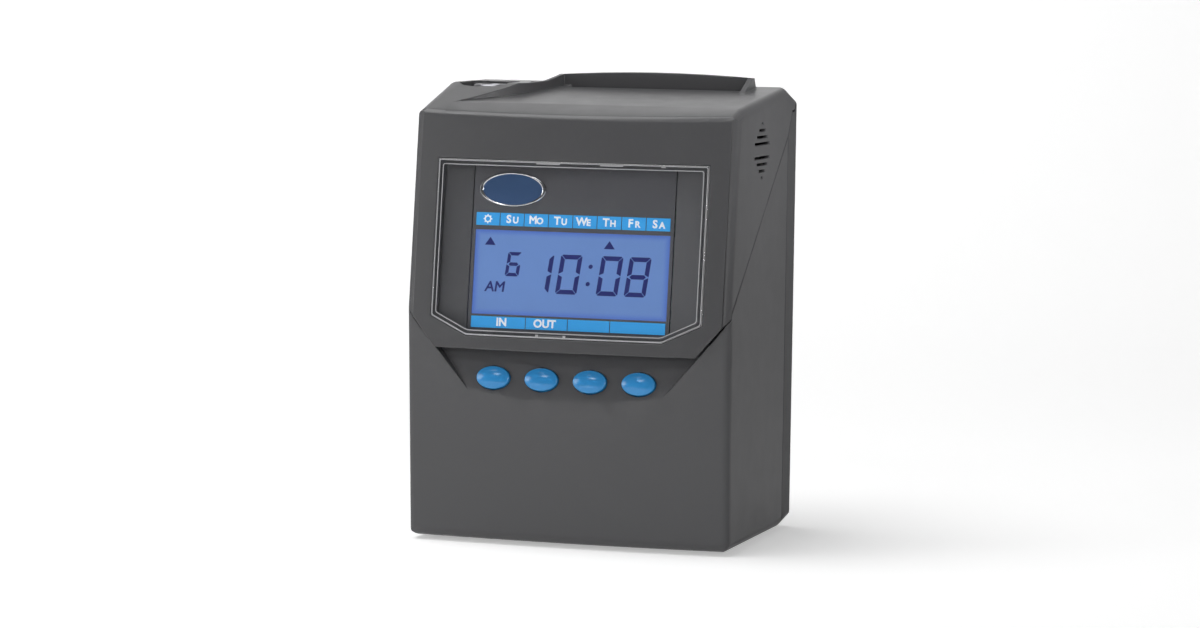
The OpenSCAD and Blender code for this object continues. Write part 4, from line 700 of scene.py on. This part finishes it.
@dataclass
class Dresser:
    """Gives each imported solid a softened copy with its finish.

    A bevel strays where it leaves the solid by more than a share of its width. The edges near such a place
    stay sharp.
    """

    nodes: dict[str, bpy.types.Object]
    bodies: dict[str, str]
    slots: dict[str, str]
    merge: float = 0.002
    shortest: float = 1.2
    segments: int = 3
    tries: int = 6
    stray: float = 0.75
    clear: float = 4.0
    finishes: dict[Slot, Finish] = field(default_factory=lambda: {
        Slot.CASE: GRAPHITE, Slot.BACK: BACK_GRAPHITE, Slot.WINDOW: WINDOW_CLEAR, Slot.BEZEL: BEZEL_DARK,
        Slot.OVERLAY: OVERLAY_INK, Slot.STRIP_BLUE: STRIP_INK_PAINTED_GLOW, Slot.LCD: LIGHT_BOX, Slot.BADGE: BADGE_ENAMEL,
        Slot.BUTTON_BLUE: BUTTON_GLOSS, Slot.LOCK_CHROME: NICKEL, Slot.STEEL: STEEL, Slot.MOTOR: MOTOR_CAN,
        Slot.BRASS: BRASS, Slot.RUBBER: RUBBER, Slot.LIGHT: LIGHT_BOX, Slot.BOARD: BOARD_GREEN,
        Slot.DARK_PLASTIC: DARK_PLASTIC, Slot.WHITE_PLASTIC: WHITE_PLASTIC, Slot.CELLS: CELL_WRAP})

    def soften(self, node: str, width: float, finish: Finish | None = None,
               keen_from: float = SHARP) -> bpy.types.Object:
        """Puts a copy with softened edges in a solid's place.

        Args:
            node: Name of the solid.
            width: Width of the softened edges in millimetres, none where it is nought.
            finish: Its finish, or that of its slot where left out.
            keen_from: Angle from which an edge is softened.

        Returns:
            The copy.
        """
        slot = Slot(self.slots[node])
        mesh = bmesh.new()
        mesh.from_mesh(self.nodes[node].data)
        bmesh.ops.remove_doubles(mesh, verts=mesh.verts[:], dist=self.merge * MM)
        if width:
            limit = math.radians(keen_from)
            keen = [edge.index for edge in mesh.edges if len(edge.link_faces) == 2
                    and edge.calc_face_angle(0.0) > limit and edge.calc_length() > self.shortest * MM]
            mesh = self.bevelled(mesh, keen, width * MM)
        return finished(mesh, node + "_skin", finish or self.finishes[slot], self.bodies[node], [node])

    def bevelled(self, mesh: bmesh.types.BMesh, keen: list[int], width: float) -> bmesh.types.BMesh:
        """Bevels edges, leaving out those where the bevel would stray from the solid.

        Args:
            mesh: The merged copy, freed here.
            keen: Numbers of the edges to bevel.
            width: Width of the bevel in metres.

        Returns:
            The bevelled copy.
        """
        solid = BVHTree.FromBMesh(mesh)
        for _ in range(self.tries):
            trial = mesh.copy()
            trial.edges.ensure_lookup_table()
            bmesh.ops.bevel(trial, geom=[trial.edges[number] for number in keen], offset=width,
                            offset_type="OFFSET", affect="EDGES", segments=self.segments, profile=0.5,
                            clamp_overlap=False, material=-1)
            strays = self.strays(trial, solid, width)
            if not strays:
                mesh.free()
                return trial
            trial.free()
            mesh.edges.ensure_lookup_table()
            keen = [number for number in keen
                    if all(self.apart(mesh.edges[number], spot) > self.clear * MM for spot in strays)]
        return mesh

    def strays(self, trial: bmesh.types.BMesh, solid: BVHTree, width: float) -> list[Vector]:
        """Finds the places where a bevel strays.

        Args:
            trial: The bevelled copy.
            solid: The solid's surface.
            width: Width of the bevel in metres.

        Returns:
            The vertices that stray and their near neighbours.
        """
        reach = 2 * self.clear * MM
        wild = [vert for vert in trial.verts if solid.find_nearest(vert.co)[3] > self.stray * width]
        near = [edge for vert in wild for edge in vert.link_edges if edge.calc_length() < reach]
        return [end.co.copy() for edge in near for end in edge.verts]

    @staticmethod
    def apart(edge: bmesh.types.BMEdge, spot: Vector) -> float:
        """Gives the distance of a point from an edge."""
        start, end = (vert.co for vert in edge.verts)
        foot, share = intersect_point_line(spot, start, end)
        return (spot - (start if share < 0.0 else end if share > 1.0 else foot)).length


@dataclass
class Case:
    """Hood, lower housing and rear cover with their feet, screws and hinge pins."""

    edge: float = 0.6
    keen_from: float = 72.0
    shells: tuple[str, ...] = ("hood", "lower_housing", "rear_cover")
    small_edge: float = 0.2
    small: tuple[str, ...] = ("feet", "rear_screws", "hinge_pins")

    def dress(self, dresser: Dresser) -> None:
        """Softens the mouldings and their small parts."""
        for node in self.shells:
            dresser.soften(node, self.edge, keen_from=self.keen_from)
        for node in self.small:
            dresser.soften(node, self.small_edge)


@dataclass
class Window:
    """Clear window of the hood with its moulded rim, painted highlight lines along the rim and along the
    ledge behind it, and the marks of its clips.

    The clips are bright bars under the top edge. The catch is a dark bar over the low edge, between two
    bright lugs.
    """

    edge: float = 0.5
    half_w: float = 71.7
    half_low: float = 51.9
    top: float = 196.0
    corner: float = 116.6
    low: float = 107.4
    frosted: float = 0.8
    line_w: float = 0.42
    line_t: float = 0.12
    # Insets from the window's edge of the two painted highlight lines.
    insets: tuple[float, ...] = (0.45, 2.5)
    clips: tuple[Point, ...] = ((-18.3, -5.8), (15.5, 27.5), (47.2, 49.4))
    clip_drop: float = 1.0
    clip_h: float = 0.5
    catch: Point = (-12.4, 0.2)
    catch_rise: float = 0.9
    catch_h: float = 0.8
    lug_w: float = 1.5
    lug_h: float = 1.0
    lug_gap: float = 0.2

    def outline(self, inset: float) -> list[Point]:
        """Gives the window's corners seen from the front, moved in by an inset."""
        run, rise = self.half_w - self.half_low, self.corner - self.low
        slant = math.hypot(run, rise)
        foot = self.half_low - inset * (slant - run) / rise
        side = self.corner - inset * (rise - slant) / run
        edge = self.half_w - inset
        right = [(foot, self.low + inset), (edge, side), (edge, self.top - inset)]
        return right + [(-x, z) for x, z in reversed(right)]

    def dress(self, dresser: Dresser) -> None:
        """Softens the window, frosts its cut edges and draws its painted highlight lines and marks."""
        skin = dresser.soften("window_lens", self.edge)
        skin.data.materials.append(WINDOW_FROST_AND_HIGHLIGHT.material())
        out = FACE.matrix().to_3x3() @ Vector((0.0, 0.0, 1.0))
        for face in skin.data.polygons:
            face.material_index = int(abs(face.normal.dot(out)) < self.frosted)
        lens = dresser.nodes["window_lens"]
        self.painted_highlights_and_marks(lens)
        foot = self.low + self.catch_rise
        dark = Draft()
        dark.patch(self.catch, (foot, foot + self.catch_h), self.line_t, lens)
        dark.piece("window_catch", BEZEL_DARK, Body.HOOD.value)

    def painted_highlights_and_marks(self, lens: bpy.types.Object) -> None:
        """Draws the painted highlight lines along the rim and the ledge, the clips and the lugs of the catch
        on the window's solid.
        """
        draft = Draft()
        # Painted highlights: bright lines that stand in for light caught by the lens's edge and by the
        # ledge's edge behind it.
        for inset in self.insets:
            draft.line(self.outline(inset), self.line_w, self.line_t, lens)
        head = self.top - self.clip_drop
        for clip in self.clips:
            draft.patch(clip, (head - self.clip_h, head), self.line_t, lens)
        foot = self.low + self.catch_rise
        for left in (self.catch[0] - self.lug_gap - self.lug_w, self.catch[1] + self.lug_gap):
            draft.patch((left, left + self.lug_w), (foot, foot + self.lug_h), self.line_t, lens)
        draft.piece("window_highlight_lines_and_marks", WINDOW_FROST_AND_HIGHLIGHT, Body.HOOD.value)


@dataclass
class Display:
    """Overlay with its strips, badge and backlit glass.

    The print on the strips is a large and a small letter for each day, a sun in the first cell and the two
    ways of a card.
    """

    middle: float = -1.0
    overlay_deep: float = 11.4
    strip_t: float = 0.4
    glass_deep: float = 11.8
    glass_w: float = 103.5
    glass_top: float = 57.94
    glass_h: float = 43.0
    edges: dict[str, float] = field(default_factory=lambda: {
        "display_bezel": 0.3, "overlay_panel": 0.15, "day_strip": 0.0, "function_strip": 0.0})
    inner_edge: float = 0.2
    inner: tuple[str, ...] = ("backlight", "display_board", "display_carrier")
    day_drop: float = 52.5
    days: tuple[str, ...] = ("SU", "MO", "TU", "WE", "TH", "FR", "SA")
    large_h: float = 4.0
    large_weight: float = 0.2
    large_x: float = -1.7
    small_h: float = 3.2
    small_weight: float = 0.18
    small_x: float = 2.0
    small_drop: float = 0.4
    sun_inner: float = 1.15
    sun_outer: float = 1.85
    sun_steps: int = 32
    rays: int = 8
    ray_run: Point = (1.7, 2.35)
    ray_half: float = 0.3
    way_drop: float = 104.95
    way_inner: float = 22.4
    way_weight: float = 0.22
    in_shift: float = 1.9
    out_shift: float = -0.9
    badge_x: float = -33.6
    badge_drop: float = 37.24
    badge_w: float = 35.5
    badge_h: float = 17.4
    plate_share: float = 0.9
    plate_t: float = 1.32
    plate_fall: float = 0.3
    plate_steps: int = 12
    rim: tuple[Point, ...] = ((0.89, 0.0), (0.89, 1.1), (0.91, 1.3), (0.945, 1.38), (0.98, 1.25), (1.0, 0.9),
                              (1.0, 0.0), (0.89, 0.0))

    def glass_finish(self) -> LitGlass:
        """Gives the finish of the backlit glass, set to its middle."""
        half_w, half_h = self.glass_w / 2, self.glass_h / 2
        middle = FACE.matrix(self.middle, self.glass_deep, -self.glass_top - half_h).to_translation()
        return LitGlass("lit_glass", ink(101, 132, 187), roughness=0.22, relief=0.0005, glow=0.5,
                        middle=tuple(middle), half_w=half_w, half_h=half_h)

    def dress(self, dresser: Dresser) -> None:
        """Dresses the solids of the display."""
        for node, edge in self.edges.items():
            dresser.soften(node, edge)
        dresser.soften("lcd_panel", 0.0, self.glass_finish())
        for node in self.inner:
            dresser.soften(node, self.inner_edge)

    def on_strip(self, x: float, drop: float) -> Matrix:
        """Gives a place on the strips, from the display's middle and down from the face's top."""
        return FACE.matrix(self.middle + x, self.overlay_deep - self.strip_t, -drop)

    def labels(self) -> None:
        """Letters the strips with the sun, the days and the two ways of a card."""
        draft = Draft()
        pitch = self.glass_w / (len(self.days) + 1)
        first = (pitch - self.glass_w) / 2
        for number, (large, small) in enumerate(self.days, 1):
            x = first + number * pitch
            high = self.on_strip(x + self.large_x, self.day_drop)
            draft.words(large, self.large_h, self.large_weight, high)
            low = self.on_strip(x + self.small_x, self.day_drop + self.small_drop)
            draft.words(small, self.small_h, self.small_weight, low)
        self.sun(draft, self.on_strip(first, self.day_drop))
        outer = (self.glass_w / 2 + self.way_inner) / 2
        for word, x in (("IN", self.in_shift - outer), ("OUT", self.out_shift - self.way_inner / 2)):
            draft.words(word, self.large_h, self.way_weight, self.on_strip(x, self.way_drop))
        draft.piece("strip_labels", LABEL_INK_PAINTED_GLOW, Body.HOUSING.value)

    def sun(self, draft: Draft, place: Matrix) -> None:
        """Draws the sun, a ring with short rays."""
        thick, inner, outer = draft.print_t, self.sun_inner, self.sun_outer
        draft.turned([(inner, 0.0), (inner, thick), (outer, thick), (outer, 0.0)], place, self.sun_steps)
        (start, end), half = self.ray_run, self.ray_half
        ray = [(start, -half), (end, -half), (end, half), (start, half)]
        for step in range(self.rays):
            draft.prism(ray, thick, place @ Matrix.Rotation(math.tau * step / self.rays, 4, "Z"))

    def badge(self) -> None:
        """Makes the bare oval plate with its bright rim."""
        squash = Matrix.Diagonal((1.0, self.badge_h / self.badge_w, 1.0, 1.0))
        place = FACE.matrix(self.badge_x, self.overlay_deep, -self.badge_drop) @ squash
        half = self.badge_w / 2
        shares = [step / self.plate_steps for step in range(self.plate_steps + 1)]
        edge = half * self.plate_share
        crown = [(edge * share, self.plate_t - self.plate_fall * share ** 2) for share in shares]
        plate = Draft()
        plate.turned([*crown, (edge, 0.0), (0.0, 0.0)], place)
        plate.piece("badge_plate", BADGE_ENAMEL, Body.HOUSING.value, ["badge"])
        rim = Draft()
        rim.turned([(half * share, height) for share, height in self.rim], place)
        rim.piece("badge_rim", CHROME, Body.HOUSING.value)


@dataclass(frozen=True)
class Numeral:
    """Digit of seven segments, with its size over the segments' middles and their width."""

    wide: float
    tall: float
    stroke: float
    gap: float = 0.2

    def segments(self) -> dict[str, list[Point]]:
        """Gives the outlines of the seven segments by their letters, mitred at the corners."""
        x, y = (self.wide + self.stroke) / 2, (self.tall + self.stroke) / 2
        gap, inner, middle, clip = self.gap, self.stroke, self.stroke / 2, self.stroke / 3
        end = [(x - gap - clip, y), (x - gap - clip / 2, y - clip / 2), (x - gap - inner, y - inner)]
        top = end + [(-px, py) for px, py in reversed(end)]
        side = [(x, y - gap - clip), (x, gap), (x - inner, middle + gap), (x - inner, y - inner - gap),
                (x - clip / 2, y - gap - clip / 2)]
        tip = [(x - inner - gap, -middle), (x - middle - gap, 0.0), (x - inner - gap, middle)]

        def mirrored(points: list[Point], across: int, along: int) -> list[Point]:
            """Mirrors an outline about the digit's middle."""
            return [(across * px, along * py) for px, py in points]

        return {"a": top, "b": side, "c": mirrored(side, 1, -1), "d": mirrored(top, 1, -1),
                "e": mirrored(side, -1, -1), "f": mirrored(side, -1, 1), "g": tip + mirrored(tip, -1, -1)}


@dataclass
class Digits:
    """Dark marks that the display glass shows: the time, the date, the half of the day and two arrows."""

    deep: float = 11.8
    thick: float = 0.05
    slant: float = 7.0
    lit: dict[str, str] = field(default_factory=lambda: {
        "0": "abcdef", "1": "bc", "6": "acdefg", "8": "abcdefg"})
    time_drop: float = 79.3
    time_size: Numeral = Numeral(9.1, 17.8, 2.3)
    time: tuple[tuple[str, float], ...] = (("1", -16.8), ("0", -1.8), ("0", 19.8), ("8", 34.6))
    colon_x: float = 9.0
    colon_rise: float = 4.4
    dot: float = 2.2
    dot_steps: int = 20
    date_drop: float = 75.1
    date_size: Numeral = Numeral(5.7, 10.6, 1.75)
    date_x: float = -31.6
    half_day_drop: float = 87.0
    half_day_x: float = -40.8
    half_day_h: float = 5.3
    half_day_weight: float = 0.15
    arrow_drop: float = 63.7
    arrows: tuple[float, ...] = (-44.6, 18.9)
    arrow: tuple[Point, ...] = ((-2.9, -2.0), (2.9, -2.0), (0.0, 2.1))

    def place(self, x: float, drop: float) -> Matrix:
        """Gives a slanted place on the glass."""
        lean = Matrix.Identity(4)
        lean[0][1] = math.tan(math.radians(self.slant))
        return FACE.matrix(x, self.deep, -drop) @ lean

    def digit(self, draft: Draft, mark: str, size: Numeral, place: Matrix) -> None:
        """Draws one digit.

        Args:
            draft: Mesh to draw in.
            mark: The digit.
            size: Its size.
            place: Place of its middle.
        """
        outlines = size.segments()
        for letter in self.lit[mark]:
            draft.prism(outlines[letter], self.thick, place)

    def colon(self, draft: Draft) -> None:
        """Draws the two round dots between hours and minutes."""
        radius = self.dot / 2
        turns = [math.tau * step / self.dot_steps for step in range(self.dot_steps)]
        disc = [(radius * math.cos(turn), radius * math.sin(turn)) for turn in turns]
        for rise in (-self.colon_rise, self.colon_rise):
            spot = self.place(self.colon_x, self.time_drop) @ Matrix.Translation((0.0, rise, 0.0))
            draft.prism(disc, self.thick, spot)

    def build(self) -> None:
        """Draws all the marks as one piece."""
        draft = Draft()
        for mark, x in self.time:
            self.digit(draft, mark, self.time_size, self.place(x, self.time_drop))
        self.colon(draft)
        self.digit(draft, "6", self.date_size, self.place(self.date_x, self.date_drop))
        for x in self.arrows:
            draft.prism(self.arrow, self.thick, FACE.matrix(x, self.deep, -self.arrow_drop))
        draft.words("AM", self.half_day_h, self.half_day_weight,
                    self.place(self.half_day_x, self.half_day_drop), self.thick)
        draft.piece("display_marks", SEGMENT_INK, Body.HOUSING.value)


@dataclass
class ButtonRow:
    """Four domed oval buttons with their flanges and stems, and the switch board behind them."""

    number: int = 4
    pitch: float = 25.7
    up: float = 11.5
    wide: float = 17.6
    tall: float = 11.6
    proud: float = 1.6
    dome: float = 1.7
    crown_share: float = 0.8
    crown_steps: int = 14
    edge_r: float = 0.7
    edge_turns: tuple[int, ...] = (30, 50, 70, 90)
    wall: float = 2.5
    clear: float = 0.15
    flange: float = 1.4
    flange_t: float = 1.2
    stem: float = 2.2
    stem_r: float = 2.0
    steps: int = 96
    board_edge: float = 0.15
    board: tuple[str, ...] = ("key_board", "key_switches")

    def profile(self) -> list[Point]:
        """Gives the profile of a button from the top of its dome to the end of its stem."""
        half, top = self.wide / 2, self.proud + self.dome
        shoulder, fall = half - self.edge_r, self.dome * self.crown_share
        shares = [step / self.crown_steps for step in range(self.crown_steps + 1)]
        crown = [(shoulder * share, top - fall * share ** 2) for share in shares]
        turns = [math.radians(turn) for turn in self.edge_turns]
        edge = [(shoulder + self.edge_r * math.sin(turn), top - fall - self.edge_r * (1 - math.cos(turn)))
                for turn in turns]
        low, end = -self.wall - self.clear, -self.wall - self.stem
        under, rim, stem = low - self.flange_t, half + self.flange, self.stem_r
        return [*crown, *edge, (half, low), (rim, low), (rim, under), (stem, under), (stem, end), (0.0, end)]

    def build(self, dresser: Dresser) -> None:
        """Makes the four buttons and dresses the board behind them."""
        squash = Matrix.Diagonal((1.0, self.tall / self.wide, 1.0, 1.0))
        for number in range(self.number):
            node = f"button_{number + 1}"
            x = (number - (self.number - 1) / 2) * self.pitch
            draft = Draft()
            draft.turned(self.profile(), PANEL.matrix(x, 0.0, self.up) @ squash, self.steps)
            draft.piece(node + "_cap", BUTTON_GLOSS, dresser.bodies[node], [node])
        for node in self.board:
            dresser.soften(node, self.board_edge)


@dataclass
class KeyLock:
    """Bright lock in the pocket of the deck."""

    edge: float = 0.25
    nodes: tuple[str, ...] = ("lock_barrel", "lock_plug", "lock_cam")

    def dress(self, dresser: Dresser) -> None:
        """Softens the lock's pieces."""
        for node in self.nodes:
            dresser.soften(node, self.edge)


@dataclass
class Mechanism:
    """Card mechanism, boards and power inside the case."""

    edge: float = 0.15
    nodes: tuple[str, ...] = (
        "chassis", "chassis_screws", "chute_front", "chute_rear", "feed_shaft", "feed_rollers",
        "feed_bushes", "feed_gear", "idler_gear", "idler_pin", "feed_motor", "motor_pinion", "pinch_arm",
        "pinch_rod", "pinch_axle", "pinch_rollers", "carriage", "print_head", "guide_rod", "guide_rail",
        "carriage_motor", "motor_pulley", "idler_pulley", "pulley_pin", "carriage_belt", "platen_bar",
        "sensor_lever", "sensor_bracket", "main_board", "board_parts", "backup_battery", "power_jack")

    def dress(self, dresser: Dresser) -> None:
        """Softens each piece a little."""
        for node in self.nodes:
            dresser.soften(node, self.edge)


@dataclass(frozen=True)
class Lamp:
    """Soft rectangular lamp, in metres, watts and degrees of spread."""

    name: str
    spot: Spot
    aim: Spot
    size: Point
    watts: float
    spread: float = 180.0

    def build(self) -> None:
        """Hangs the lamp, facing its aim and unseen by the camera."""
        light = bpy.data.lights.new(self.name, "AREA")
        light.shape, light.energy, light.spread = "RECTANGLE", self.watts, math.radians(self.spread)
        light.size, light.size_y = self.size
        lamp = bpy.data.objects.new(self.name, light)
        lamp.location = self.spot
        lamp.rotation_euler = (Vector(self.aim) - Vector(self.spot)).to_track_quat("-Z", "Y").to_euler()
        lamp.visible_camera = False
        bpy.context.scene.collection.objects.link(lamp)


@dataclass
class Studio:
    """Floor, backdrop, lamps and camera.

    The top box is the main light. Floor and backdrop boxes light the paper that the case mirrors, and the
    others fill the front, the left, the right front corner and the upper right side.
    """

    near: float = -12.0
    far: float = 2.4
    half: float = 12.0
    rise: float = 3.5
    curve: float = 1.4
    curve_steps: int = 16
    world: float = 0.1
    lamps: tuple[Lamp, ...] = (
        Lamp("top_box", (-0.6, -0.2, 2.0), (-0.3, 0.1, 0.0), (1.6, 1.6), 30.0),
        Lamp("backdrop_box", (-0.85, 0.9, 1.9), (-0.8, 2.4, 0.4), (1.1, 0.6), 6.0, 120.0),
        Lamp("front_box", (-0.3, -1.6, 1.35), (0.0, 0.0, 0.12), (0.5, 0.3), 0.16, 40.0),
        Lamp("left_box", (-0.75, -0.5, 0.3), (-0.08, 0.0, 0.1), (0.4, 0.4), 0.12, 40.0),
        Lamp("floor_box", (-0.4, -1.1, 0.9), (-0.4, -1.1, 0.0), (0.5, 0.3), 8.0, 50.0),
        Lamp("edge_box", (0.95, -1.6, 0.5), (0.08, -0.05, 0.12), (0.12, 0.4), 0.5, 60.0),
        Lamp("side_box", (0.55, 0.0, 0.38), (0.085, 0.0, 0.22), (0.1, 0.1), 0.036, 28.0))
    eye: Spot = (0.62191, -1.96770, 0.30049)
    azimuth: float = 17.57
    elevation: float = 5.14
    roll: float = 0.81
    lens: float = 120.0
    sensor: float = 36.0
    clip: Point = (0.05, 50.0)

    def floor(self) -> None:
        """Lays the floor, with a backdrop that rises from it in a wide curve."""
        mesh = bmesh.new()
        profile = ((self.near, 0.0), (self.far, 0.0), (self.far, self.rise))
        left = [mesh.verts.new((-self.half, y, z)) for y, z in profile]
        edges = [mesh.edges.new(pair) for pair in zip(left, left[1:])]
        pushed(mesh, bmesh.ops.extrude_edge_only(mesh, edges=edges), (2 * self.half, 0.0, 0.0))
        fold = [edge for edge in mesh.edges if len(edge.link_faces) == 2]
        bmesh.ops.bevel(mesh, geom=fold, offset=self.curve, offset_type="OFFSET", affect="EDGES",
                        segments=self.curve_steps, profile=0.5, clamp_overlap=False, material=-1)
        bmesh.ops.recalc_face_normals(mesh, faces=mesh.faces[:])
        for face in mesh.faces:
            face.smooth = True
        data = bpy.data.meshes.new("studio_floor")
        mesh.to_mesh(data)
        mesh.free()
        data.materials.append(PAPER.material())
        floor = bpy.data.objects.new("studio_floor", data)
        bpy.context.scene.collection.objects.link(floor)

    def lights(self) -> None:
        """Hangs the lamps and sets the even light of the room."""
        for lamp in self.lamps:
            lamp.build()
        room = bpy.data.worlds.new("room")
        bpy.context.scene.world = room
        room.use_nodes = True
        even = room.node_tree.nodes["Background"]
        even.inputs["Color"].default_value = WHITE
        even.inputs["Strength"].default_value = self.world

    def camera(self) -> None:
        """Sets the camera at the photograph's viewing angle."""
        turn, rise, roll = (math.radians(value) for value in (self.azimuth, self.elevation, self.roll))
        back = Vector((math.sin(turn) * math.cos(rise), -math.cos(turn) * math.cos(rise), math.sin(rise)))
        right = Vector((math.cos(turn), math.sin(turn), 0.0))
        up = back.cross(right)
        across = right * math.cos(roll) + up * math.sin(roll)
        above = up * math.cos(roll) - right * math.sin(roll)
        data = bpy.data.cameras.new("photo_camera")
        data.lens, data.sensor_width, data.sensor_fit = self.lens, self.sensor, "HORIZONTAL"
        data.clip_start, data.clip_end = self.clip
        camera = bpy.data.objects.new("photo_camera", data)
        facing = Matrix((across, above, back)).transposed().to_4x4()
        camera.matrix_world = Matrix.Translation(self.eye) @ facing
        bpy.context.scene.collection.objects.link(camera)
        bpy.context.scene.camera = camera

    def build(self) -> None:
        """Sets the whole studio."""
        self.floor()
        self.lights()
        self.camera()
        bpy.context.scene.view_settings.view_transform = "Standard"


def main() -> None:
    """Builds the classes in order."""
    logging.basicConfig(level=logging.INFO, format="%(name)s: %(message)s")
    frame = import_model()
    record = frame["record"]
    bodies = {node: body for body, nodes in record["behaviour"]["bodies"].items() for node in nodes}
    slots = {part["node"]: part["material_slot"] for part in record["subparts"]}
    dresser = Dresser(frame["nodes"], bodies, slots)
    Case().dress(dresser)
    Window().dress(dresser)
    display = Display()
    display.dress(dresser)
    display.labels()
    display.badge()
    Digits().build()
    ButtonRow().build(dresser)
    KeyLock().dress(dresser)
    Mechanism().dress(dresser)
    Studio().build()


if __name__ == "__main__":
    main()
